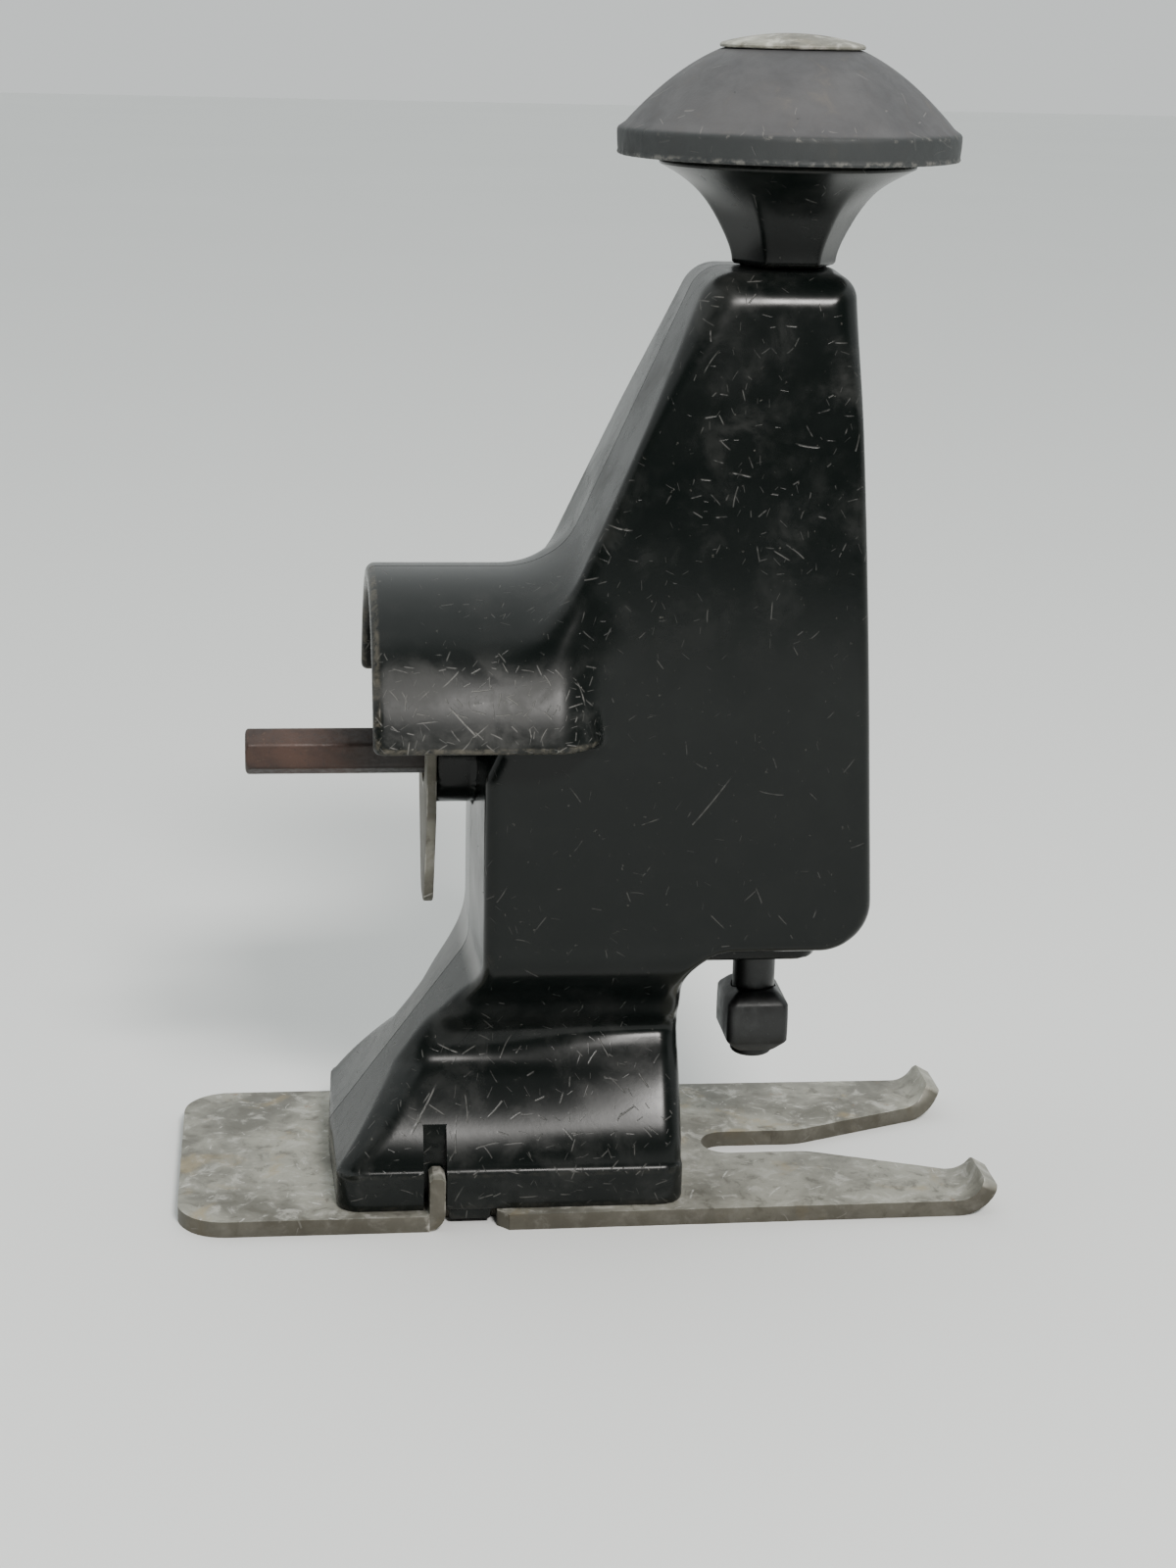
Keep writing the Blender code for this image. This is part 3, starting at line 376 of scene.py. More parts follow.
def housing_field(x, y, z):
    """Distance to the housing without its hollows, negative inside. It is the same on both sides."""
    side = np.abs(y)
    outline = outline_distance(x, z)
    wall = (outline + DRAFT * side) / math.hypot(1, DRAFT)
    fore = ease(x, -26, 16)
    depth, slope = (fore * np.interp(z, TABLE_Z, front) + (1 - fore) * np.interp(z, TABLE_Z, back)
                    for front, back in ((FRONT_DEPTH, BACK_DEPTH), (FRONT_SLOPE, BACK_SLOPE)))
    edge = EDGE_RADIUS + (FOOT_EDGE_RADIUS - EDGE_RADIUS) * (1 - ease(z, 34, 52))
    edge = edge + (TOP_EDGE_RADIUS - EDGE_RADIUS) * ease(z, 150, 176)
    body = both(wall, (side - depth) / np.hypot(1, slope), edge)
    skirt = both(wall - 0.25, side - SKIRT_DEPTH, FOOT_EDGE_RADIUS)
    skirt = both(skirt, z - SKIRT_TOP, 0.6)
    body = np.minimum(body, skirt)
    radial = np.hypot(y, z - SHAFT_Z)
    tube = both(radial - HOOD_RADIUS, x - HOOD_FRONT, HOOD_FRONT_ROUND)
    tube = both(tube, HOOD_BACK - x, 1.7)
    tube = both(tube, HOOD_EDGE_Z - z, 1.3)
    reach = 3 + 7 * ease(z, 98, 118)
    shell = either(body, tube, reach)
    hollow = both(radial - (HOOD_RADIUS - HOOD_WALL), x - (NECK_BACK + 1.2), 2.0)
    hollow = both(hollow, HOOD_EDGE_Z - 2 - z, 0.3)
    shell = both(shell, -hollow, 0.9)
    boss = both(radial - 10, BOSS_BACK - x, 0.5)
    boss = both(boss, x - (NECK_BACK + 4), 0.5)
    shell = np.minimum(shell, boss)
    lug = np.hypot(side - TONGUE_SCREW_Y, z - TONGUE_SCREW_Z) - 4.5
    lug = both(lug, BOSS_BACK - x, 0.5)
    lug = both(lug, x - (NECK_BACK + 5), 0.5)
    shell = np.minimum(shell, lug)
    nose = both(x - 45.5, side - 12, 5.0)
    nose = both(both(nose, 47 - z, 0.8), np.maximum(z - 55.5, 15.4 - x), 0.5)
    shell = either(shell, nose, 1.5)
    shell = both(shell, FOOT_BOTTOM - z, 0.5)
    foot_lug = np.maximum(np.abs(x + 23.8) - 4.1, np.abs(side - 27.45) - 1.25)
    foot_lug = both(foot_lug, np.abs(z - 3.5) - 2.5, 0.3)
    return np.minimum(shell, foot_lug)


def field_at(points):
    return housing_field(points[:, 0], points[:, 1], points[:, 2])


def gradient_at(points, step=0.05):
    slope = np.empty_like(points)
    for axis in range(3):
        shift = np.zeros(3)
        shift[axis] = step
        slope[:, axis] = (field_at(points + shift) - field_at(points - shift)) / (2 * step)
    return slope


def surface_net(low, high, cell, cap):
    """Quads over the field's surface on the side y < cap, closed by the plane y = cap."""
    axes = [np.arange(a, b + cell, cell) for a, b in zip(low, high)]
    x, y, z = axes[0][:, None, None], axes[1][None, :, None], axes[2][None, None, :]
    inside = np.maximum(housing_field(x, y, z), y - cap) < 0
    shape = [n - 1 for n in inside.shape]
    count = np.zeros(shape, np.int8)
    for i in (0, 1):
        for j in (0, 1):
            for k in (0, 1):
                count += inside[i:i + shape[0], j:j + shape[1], k:k + shape[2]]
    active = (count > 0) & (count < 8)
    index = np.full(shape, -1)
    index[active] = np.arange(active.sum())
    points = np.array([a[0] for a in axes]) + (np.argwhere(active) + 0.5) * cell
    quads = []
    units = np.eye(3, dtype=int)
    for axis in range(3):
        one, two = (axis + 1) % 3, (axis + 2) % 3
        first = [slice(None)] * 3
        second = [slice(None)] * 3
        first[axis], second[axis] = slice(0, -1), slice(1, None)
        edge = np.argwhere(inside[tuple(first)] != inside[tuple(second)])
        whole = (edge[:, one] > 0) & (edge[:, two] > 0)
        whole &= (edge[:, one] < shape[one]) & (edge[:, two] < shape[two])
        edge = edge[whole]
        outward = inside[tuple(edge.T)]
        around = (edge - units[one] - units[two], edge - units[two], edge, edge - units[one])
        quad = np.stack([index[tuple(c.T)] for c in around], 1)
        quad[~outward] = quad[~outward][:, ::-1]
        quads.append(quad)
    quads = np.concatenate(quads)
    ends = np.concatenate([quads[:, [k, (k + 1) % 4]] for k in range(4)])
    neighbours = np.bincount(ends[:, 0], minlength=len(points)).astype(float)
    for round_number in range(4):
        for _ in range(2):
            capped = points[:, 1] > cap - cell
            value = field_at(points)
            slope = gradient_at(points)
            length = np.maximum((slope**2).sum(1), 0.3)
            step = slope * np.clip(value / length, -cell, cell)[:, None]
            step[capped & (np.abs(value) > cell)] = 0
            points = points - step
            points[:, 1] = np.where(capped & (np.abs(value) > cell), cap, points[:, 1])
        if round_number < 3:
            total = np.stack([np.bincount(ends[:, 0], points[ends[:, 1], a], len(points))
                              for a in range(3)], 1)
            free = ~(points[:, 1] > cap - 2 * cell)
            points[free] = (0.4 * points + 0.6 * total / neighbours[:, None])[free]
    return points, quads


def convexity(points, reach=1.1):
    """How strongly the housing's surface bulges: 1 is a tight outer edge, below 0 is a hollow."""
    total = -6 * field_at(points)
    for axis in range(3):
        for way in (-reach, reach):
            shift = np.zeros(3)
            shift[axis] = way
            total = total + field_at(points + shift)
    return np.clip(total / reach / 1.1, -1, 1)


FOOT_HOLLOW = ((-35.0, 19.0), (3.0, 19.0), (3.0, 62.0), (-17.0, 62.0), (-17.0, 45.0))
SCREW_PLACES = ((17.4, 157.5), (4.6, 129.5), (-14.4, 70.0), (-39.0, 12.5), (10.2, 13.0))


def prism(outline, low, high):
    """An outline of (x, z) points, run along Y."""
    count = len(outline)
    verts = [(x, y, z) for y in (low, high) for x, z in outline]
    faces = [range(count), range(2 * count - 1, count - 1, -1)]
    faces += [(k, k + count, (k + 1) % count + count, (k + 1) % count) for k in range(count)]
    return solid_mesh("prism", verts, faces)


def past(y):
    """A box over everything beyond the plane at y."""
    return box_mesh((-90, y, -20), (90, 60, 240))


def housing_cutters():
    seat, clear, bolt = 8.3, 5.05, 3.7
    shaft_bore = ((0, 7.2), (seat, 7.2), (seat, -28.1), (6.0, -28.1), (6.0, -31.8), (0, -31.8))
    rod_bore = ((0, 183.0), (bolt, 183.0), (bolt, 169.0), (clear, 169.0), (clear, 145.3), (seat, 145.3),
                (seat, 126.7), (clear, 126.7), (clear, 68.2), (seat, 68.2), (seat, 48.7),
                (clear, 48.7), (clear, 45.0), (0, 45.0))
    cutters = [
        box_mesh((-32.9, -34, 0), (-28.4, -24.5, 20)),
        lathe("shaft_bore", shaft_bore, "X", (0, 0, SHAFT_Z), 40),
        lathe("rod_bore", rod_bore, "Z", (ROD_X, 0, 0), 40),
        box_mesh((6.2, -22, 67.2), (45.5, 22, 123)),
        box_mesh((24, -13.5, 154), (42.5, 13.5, 171)),
        prism(FOOT_HOLLOW, -11, 11),
        rod_mesh("X", (-30.8, -TONGUE_SCREW_Y, TONGUE_SCREW_Z), 10.6, 1.8),
    ]
    return cutters + [rod_mesh("Y", (x, -11.6, z), 21.0, 2.2) for x, z in SCREW_PLACES]


def inset_outline(corners, depth):
    """Corners of an outline moved in by depth, with their roundings."""
    moved = []
    for i, (_, _, radius) in enumerate(corners):
        here, _, _, half, middle, bulges = corner_shape(corners, i)
        way = 1 if bulges else -1
        place = here + way * middle * depth / math.sin(half)
        moved.append((place[0], place[1], max(radius - way * depth, 0.0)))
    return moved


def seam_rim():
    """What the lip inside the near half leaves free: a shallow groove along the seam's outer edge."""
    inner = rounded_outline(inset_outline(HOUSING_CORNERS, SEAM_GROOVE), 8)
    hood_top = SHAFT_Z + HOOD_RADIUS
    low, high = hood_top - HOOD_WALL + 0.9, hood_top - SEAM_GROOVE
    back, front = HOOD_BACK + 1.7, -10
    hood = ((back, low), (front, low), (front, high), (back, high))
    return combined("rim", past(-SEAM), [prism(inner, -2, 70), prism(hood, -2, 70)], "DIFFERENCE")


def housing_halves():
    cell = 0.75
    low = (HOUSE_LOW[0] - 2.3, -38.0, -1.0)
    high = (HOUSE_HIGH[0] + 2.3, 3.5, HOUSE_HIGH[2] + 2.3)
    points, quads = surface_net(low, high, cell, 1.7)
    blank = mesh_from("housing_blank", points, quads)
    hollowed = combined("hollowed", blank, housing_cutters(), "DIFFERENCE")
    plain = combined("plain", hollowed.copy(), [past(-SEAM)], "DIFFERENCE")
    near = combined("near", hollowed, [seam_rim(), past(SEAM - LIP_CLEARANCE)], "DIFFERENCE")
    counterbores = [rod_mesh("Y", (x, 9, z), 32, 4.1, 40) for x, z in SCREW_PLACES]
    far = combined("far", mirrored(plain), counterbores, "DIFFERENCE")
    return near, far


# ---- sole plate

def rounded_outline(corners, steps):
    """Corner points (a, b, radius) as a closed outline with an arc at each radius."""
    points = []
    for i, (a, b, radius) in enumerate(corners):
        here = Vector((a, b))
        if radius == 0:
            points.append(here)
            continue
        before = (Vector(corners[i - 1][:2]) - here).normalized()
        after = (Vector(corners[(i + 1) % len(corners)][:2]) - here).normalized()
        half = before.angle(after) / 2
        centre = here + (before + after).normalized() * (radius / math.sin(half))
        first = here + before * (radius / math.tan(half)) - centre
        last = here + after * (radius / math.tan(half)) - centre
        sweep = first.angle_signed(last)
        points += [centre + Matrix.Rotation(-sweep * k / steps, 2) @ first for k in range(steps + 1)]
    return points


TIP_BEND_X = 72.0
TIP_BEND_RADIUS = 5.0
TIP_ANGLE = math.radians(60)
TAB_BACK = -31.9
TAB_FRONT = -28.8
TAB_INNER_Y = 25.5
TAB_ROOT = -34.0
TAB_BEND = 3.6
TAB_TOP = 11.0
NOTCH_FRONT = -18.7


def evened(points, spacing):
    """The outline with its long runs split into equal steps."""
    out = []
    for k, here in enumerate(points):
        after = points[(k + 1) % len(points)]
        count = max(1, round((after - here).length / spacing))
        out += [here.lerp(after, n / count) for n in range(count)]
    return out


def slab(outline, thickness, bevel, segments=2):
    """A plate over an (x, y) outline, with its rims rounded."""
    bm = bmesh.new()
    verts = [bm.verts.new((x, y, 0)) for x, y in outline]
    face = bm.faces.new(verts)
    grown = bmesh.ops.extrude_face_region(bm, geom=[face])
    for vert in [g for g in grown["geom"] if isinstance(g, bmesh.types.BMVert)]:
        vert.co.z = thickness
    bmesh.ops.recalc_face_normals(bm, faces=bm.faces)
    rims = [e for e in bm.edges if abs(e.verts[0].co.z - e.verts[1].co.z) < 1e-6]
    bmesh.ops.bevel(bm, geom=rims, offset=bevel, segments=segments, affect="EDGES", profile=0.5,
                    clamp_overlap=True)
    return bm


def sole_plate():
    centre = TIP_BEND_RADIUS + SOLE_THICKNESS
    mean_radius = TIP_BEND_RADIUS + SOLE_THICKNESS / 2
    past_bend = SOLE_HIGH[0] - TIP_BEND_X - centre * math.sin(TIP_ANGLE)
    tip = TIP_BEND_X + TIP_ANGLE * mean_radius + past_bend / math.cos(TIP_ANGLE)
    back, wide, inner = SOLE_LOW[0], SOLE_HIGH[1], TAB_INNER_Y
    right = (
        (tip, 18.9, 1.5),
        (tip, wide - 1.0, 2.0),
        (NOTCH_FRONT + 2.2, wide, 0.4),
        (NOTCH_FRONT, wide - 2.2, 0.4),
        (NOTCH_FRONT, inner, 0.5),
        (TAB_BACK, inner, 0.5),
        (TAB_BACK, wide, 0.0),
    )
    corners = [(46.5, 5.3, 12.0), *right, (back, wide, 9.5), (back, -wide, 9.5)]
    corners += [(x, -y, r) for x, y, r in reversed(right)]
    corners += [(46.5, -5.3, 12.0), (25.6, -5.3, 5.19), (25.6, 5.3, 5.19)]
    outline = evened(rounded_outline(corners, 10), 1.6)
    draw = np.random.default_rng(11)
    worn = []
    for point in outline:
        jog = draw.uniform(-0.05, 0.05)
        worn.append((max(back, min(tip, point.x + jog)), max(-wide, min(wide, point.y + jog))))
    bm = slab(worn, SOLE_THICKNESS, 0.42)
    for k in range(10):
        everything = bm.verts[:] + bm.edges[:] + bm.faces[:]
        bmesh.ops.bisect_plane(bm, geom=everything, plane_co=(TIP_BEND_X + k * 0.9, 0, 0),
                               plane_no=(1, 0, 0), dist=1e-5)
    bmesh.ops.triangulate(bm, faces=bm.faces)
    for vert in bm.verts:
        over = vert.co.x - TIP_BEND_X
        if over > 0:
            angle = min(over / mean_radius, TIP_ANGLE)
            straight = over - angle * mean_radius
            out = centre - vert.co.z
            vert.co.x = TIP_BEND_X + out * math.sin(angle) + straight * math.cos(angle)
            vert.co.z = centre - out * math.cos(angle) + straight * math.sin(angle)
    plate = from_bmesh("sole_plate", bm)
    tabs = []
    for side in (-1, 1):
        profile = [(TAB_ROOT, 0.02), (TAB_FRONT - TAB_BEND, 0.02)]
        for k in range(1, 9):
            angle = math.pi / 2 * k / 8
            profile.append((TAB_FRONT - TAB_BEND + TAB_BEND * math.sin(angle),
                            TAB_BEND + 0.02 - TAB_BEND * math.cos(angle)))
        profile += [(TAB_FRONT, 10.2), (TAB_FRONT - 0.8, TAB_TOP), (TAB_BACK + 0.7, TAB_TOP),
                    (TAB_BACK, 10.3)]
        for k in range(0, 5):
            angle = math.pi / 2 * k / 4
            profile.append((TAB_BACK - 0.9 + 0.9 * math.cos(angle), 4.08 - 0.9 * math.sin(angle)))
        profile.append((TAB_ROOT, SOLE_THICKNESS - 0.02))
        bm = bmesh.new()
        low, high = sorted((side * (inner + 0.06), side * (wide - 0.06)))
        ends = [[bm.verts.new((x, y, z)) for x, z in profile] for y in (low, high)]
        caps = [bm.faces.new(ends[0]), bm.faces.new(list(reversed(ends[1])))]
        count = len(profile)
        for k in range(count):
            n = (k + 1) % count
            bm.faces.new((ends[0][k], ends[0][n], ends[1][n], ends[1][k]))
        bmesh.ops.recalc_face_normals(bm, faces=bm.faces)
        rims = list({e for cap in caps for e in cap.edges})
        bmesh.ops.bevel(bm, geom=rims, offset=0.3, segments=2, affect="EDGES", profile=0.5)
        tabs.append(from_bmesh("tab", bm))
    return combined("sole", plate, tabs, "UNION")


# ---- turned pieces

def arc(centre, radius, start, end, steps):
    """Points of an arc in (radius, height), from one angle to another in degrees."""
    return [(centre[0] + radius * math.cos(math.radians(start + (end - start) * k / steps)),
             centre[1] + radius * math.sin(math.radians(start + (end - start) * k / steps)))
            for k in range(steps + 1)]


BOLT_HOLE = 3.5
STEM_BASE = 181.04
DOME_BASE = 200.34
CROWN_INNER = 13.3
CROWN_OUTER = 31.2
# The stem's outline as (height, radius).
STEM_RIDGES = ((181.3, 10.0), (183.5, 10.4), (186.4, 11.5), (189.0, 12.9), (192.8, 15.5), (196.3, 18.9),
               (198.0, 21.4), (199.0, 23.4))


def stem_mesh():
    """Flared stem with six faces that fade out towards the flange."""
    heights = np.array([z for z, _ in STEM_RIDGES])
    radii = np.array([r for _, r in STEM_RIDGES])
    levels = np.linspace(181.3, 199.0, 36)
    curve = np.polyfit(heights, radii, 4)
    profile = [(BOLT_HOLE, STEM_BASE), (8.4, STEM_BASE), (8.7, 181.3), (9.6, 181.3)]
    profile += [(float(np.polyval(curve, z)), float(z)) for z in levels[1:]]
    profile += [(23.9, 199.3), (24.0, 199.7), (23.8, 200.1), (23.4, 200.3), (BOLT_HOLE, 200.3)]

    def shape(angle, radius, height):
        if radius < 5:
            return radius
        faces = 1 - float(ease(height, 190.0, 199.0))
        turn = (angle + math.pi / 2 - math.radians(30)) % math.radians(60) - math.radians(30)
        flat = radius * math.cos(math.radians(30)) / math.cos(turn)
        rounded = min(flat, 0.985 * radius)
        return radius + (rounded - radius) * faces

    return lathe("knob_stem", profile, "Z", (ROD_X, 0, 0), 144, shape)


def dome_mesh():
    """Rubber dome: a straight band, a ragged moulding flash under it and a shallow crown."""
    profile = [(BOLT_HOLE, DOME_BASE), (22.6, DOME_BASE), (23.0, 200.7), (26.5, 200.7),
               (27.2, 200.9), (30.2, 200.9), (31.0, 200.75), (31.55, 200.85), (31.8, 201.2),
               (31.65, 201.7), (31.75, 202.2), (31.85, 203.4), (31.9, 204.7), (31.9, 205.3),
               (31.65, 205.75)]
    steps = 22
    for k in range(1, steps + 1):
        share = 1 - k / steps
        radius = CROWN_INNER + (CROWN_OUTER - CROWN_INNER) * share
        profile.append((radius, 220.0 - 14.3 * (0.55 * share + 0.45 * share * share)))
    profile += [(12.6, 220.2), (BOLT_HOLE, 220.2)]
    draw = np.random.default_rng(5)
    waves = [(draw.integers(5, 90), draw.uniform(0, 6.3), draw.uniform(0.3, 1)) for _ in range(26)]

    def shape(angle, radius, height):
        if 200.74 < height < 201.9 and radius > 30.5:
            rag = sum(a * math.sin(n * angle + p) for n, p, a in waves) / 5
            return radius + 0.13 * max(-1.0, min(1.3, rag))
        if 205.1 < height < 205.9:
            rag = sum(a * math.sin(n * angle + 2 * p) for n, p, a in waves) / 5
            return radius + 0.03 * rag
        return radius

    return lathe("knob_dome", profile, "Z", (ROD_X, 0, 0), 360, shape)


def cap_mesh():
    """Domed cap over the bolt, in one piece with it."""
    top = [(0, 223.0)]
    for k in range(1, 17):
        share = k / 16
        top.append((12.9 * share, 223.0 - 1.75 * share**2))
    top += [(13.25, 221.05), (13.42, 220.8), (13.4, 220.5), (13.2, 220.3), (3.2, 220.3),
            (3.2, 160.6), (2.7, 160.0), (0, 160.0)]
    return lathe("knob_bolt", top, "Z", (ROD_X, 0, 0), 128)


def shaft_mesh():
    """Hexagon with worn corners, then a round journal."""
    across, bevel, hex_end = 8.1, 1.35, -31.2
    corner = across / math.sqrt(3)
    low = SHAFT_LOW[0]
    profile = [(0, low), (corner - bevel, low)]
    profile += [(corner - bevel + bevel * math.sin(math.radians(a)),
                 low + 1.25 * (1 - math.cos(math.radians(a)))) for a in (15, 30, 45, 60, 75, 90)]
    profile += [(corner, low + t) for t in (6, 12, 18, 24, 30)]
    profile += [(corner, hex_end), (4.9, hex_end + 0.1), (5.2, -30.8), (5.2, 10.2), (4.8, 10.6),
                (0, 10.6)]
    draw = np.random.default_rng(3)
    waves = [(draw.uniform(0.2, 1.2), draw.uniform(0, 6.3), draw.uniform(0, 6.3)) for _ in range(7)]

    def shape(angle, radius, along):
        if along > hex_end + 0.05 or radius < 2:
            return radius
        turn = (angle - math.radians(60)) % math.radians(60) - math.radians(30)
        flat = across / 2 / math.cos(turn)
        rag = sum(math.sin(f * along + 3 * angle + p) for f, p, _ in waves) / 7
        return min(radius, flat, corner * 0.972) + 0.03 * rag

    return lathe("drive_shaft", profile, "X", (0, 0, SHAFT_Z), 72, shape)


def rod_piece_mesh():
    low, high = ROD_LOW[2], ROD_HIGH[2]
    profile = [(0, low), (3.35, low)]
    profile += arc((3.35, low + 0.9), 0.9, -80, 0, 5)
    profile += [(4.25, high - 0.8), (3.45, high), (0, high)]
    rod = lathe("plunger_rod", profile, "Z", (ROD_X, 0, 0), 64)
    return combined("rod", rod, [rod_mesh("Y", (ROD_X, -20, SHAFT_Z + 6.5), 40, 2.0)], "DIFFERENCE")


def clamp_mesh():
    """Forged block on the rod, with broad top and bottom bevels and worn corners."""
    low, high = node_box("blade_clamp")
    outline = rounded_outline(((low[0], low[1], 1.7), (low[0], high[1], 1.7), (high[0], high[1], 1.7),
                               (high[0], low[1], 1.7)), 6)
    levels = ((0.0, 2.5), (0.35, 2.05), (2.1, 0.35), (2.6, 0.05), (5.0, 0.0), (7.5, 0.0), (10.1, 0.08),
              (10.7, 0.4), (12.2, 1.9), (12.5, 2.4))
    middle = Vector(((low[0] + high[0]) / 2, 0))
    half_x, half_y = 6.2, 8.0
    rings = []
    verts = []
    for height, inset in levels:
        rings.append(range(len(verts), len(verts) + len(outline)))
        for point in outline:
            out = Vector(point) - middle
            verts.append((middle.x + out.x * (half_x - inset) / half_x,
                          out.y * (half_y - inset) / half_y, low[2] + height))
    count = len(outline)
    faces = [tuple(reversed(rings[0])), tuple(rings[-1])]
    for one, two in zip(rings, rings[1:]):
        faces += [(one[k], one[(k + 1) % count], two[(k + 1) % count], two[k]) for k in range(count)]
    block = solid_mesh("blade_clamp", verts, faces)
    cutters = [rod_mesh("Z", (ROD_X, 0, 20), 30, 4.55, 48),
               rod_mesh("Y", (ROD_X, 3.2, 31.5), 10, 2.8, 32)]
    return combined("clamp", block, cutters, "DIFFERENCE")


def slotted(name, axis, seat, head_radius, head_height, radius, length, way=1):
    """A screw with a rounded slotted head, which lies towards way along its axis."""
    profile = [(0, head_height), (head_radius * 0.55, head_height - 0.04)]
    profile += arc((head_radius - 0.8, head_height - 0.85), 0.8, 80, 0, 6)
    profile += [(head_radius, 0), (radius, 0), (radius, -length + 0.5), (radius - 0.5, -length),
                (0, -length)]
    screw = lathe(name, profile, steps=48)
    slot = box_mesh((-head_radius - 1, -0.5, head_height - 1.0),
                    (head_radius + 1, 0.5, head_height + 1))
    screw = combined(name, screw, [slot], "DIFFERENCE")
    flip = Matrix.Rotation(math.pi, 4, "X") if way < 0 else Matrix.Identity(4)
    screw.transform(Matrix.Translation(Vector(seat) * MM) @ AXES[axis] @ flip)
    return screw


def tongue_mesh():
    """Plate against the rear boss, its tongue hanging below the shaft."""
    low, high = node_box("tongue_plate")
    corners = ((14.0, 109.0, 5.0), (-14.0, 109.0, 5.0), (-14.0, 78.0, 8.0), (-5.0, 57.2, 4.9),
               (5.0, 57.2, 4.9), (14.0, 78.0, 8.0))
    bm = slab(evened(rounded_outline(corners, 10), 3), 1.9, 0.3)
    bmesh.ops.triangulate(bm, faces=bm.faces)
    plate = from_bmesh("tongue_plate", bm)
    plate.transform(Matrix(((0, 0, 1, low[0] * MM), (1, 0, 0, 0), (0, 1, 0, 0), (0, 0, 0, 1))))
    holes = [rod_mesh("X", (low[0] - 2, 0, SHAFT_Z), 6, 6.2, 64)]
    holes += [rod_mesh("X", (low[0] - 2, side * TONGUE_SCREW_Y, TONGUE_SCREW_Z), 6, 1.8, 24)
              for side in (-1, 1)]
    return combined("tongue", plate, holes, "DIFFERENCE")


# ---- materials

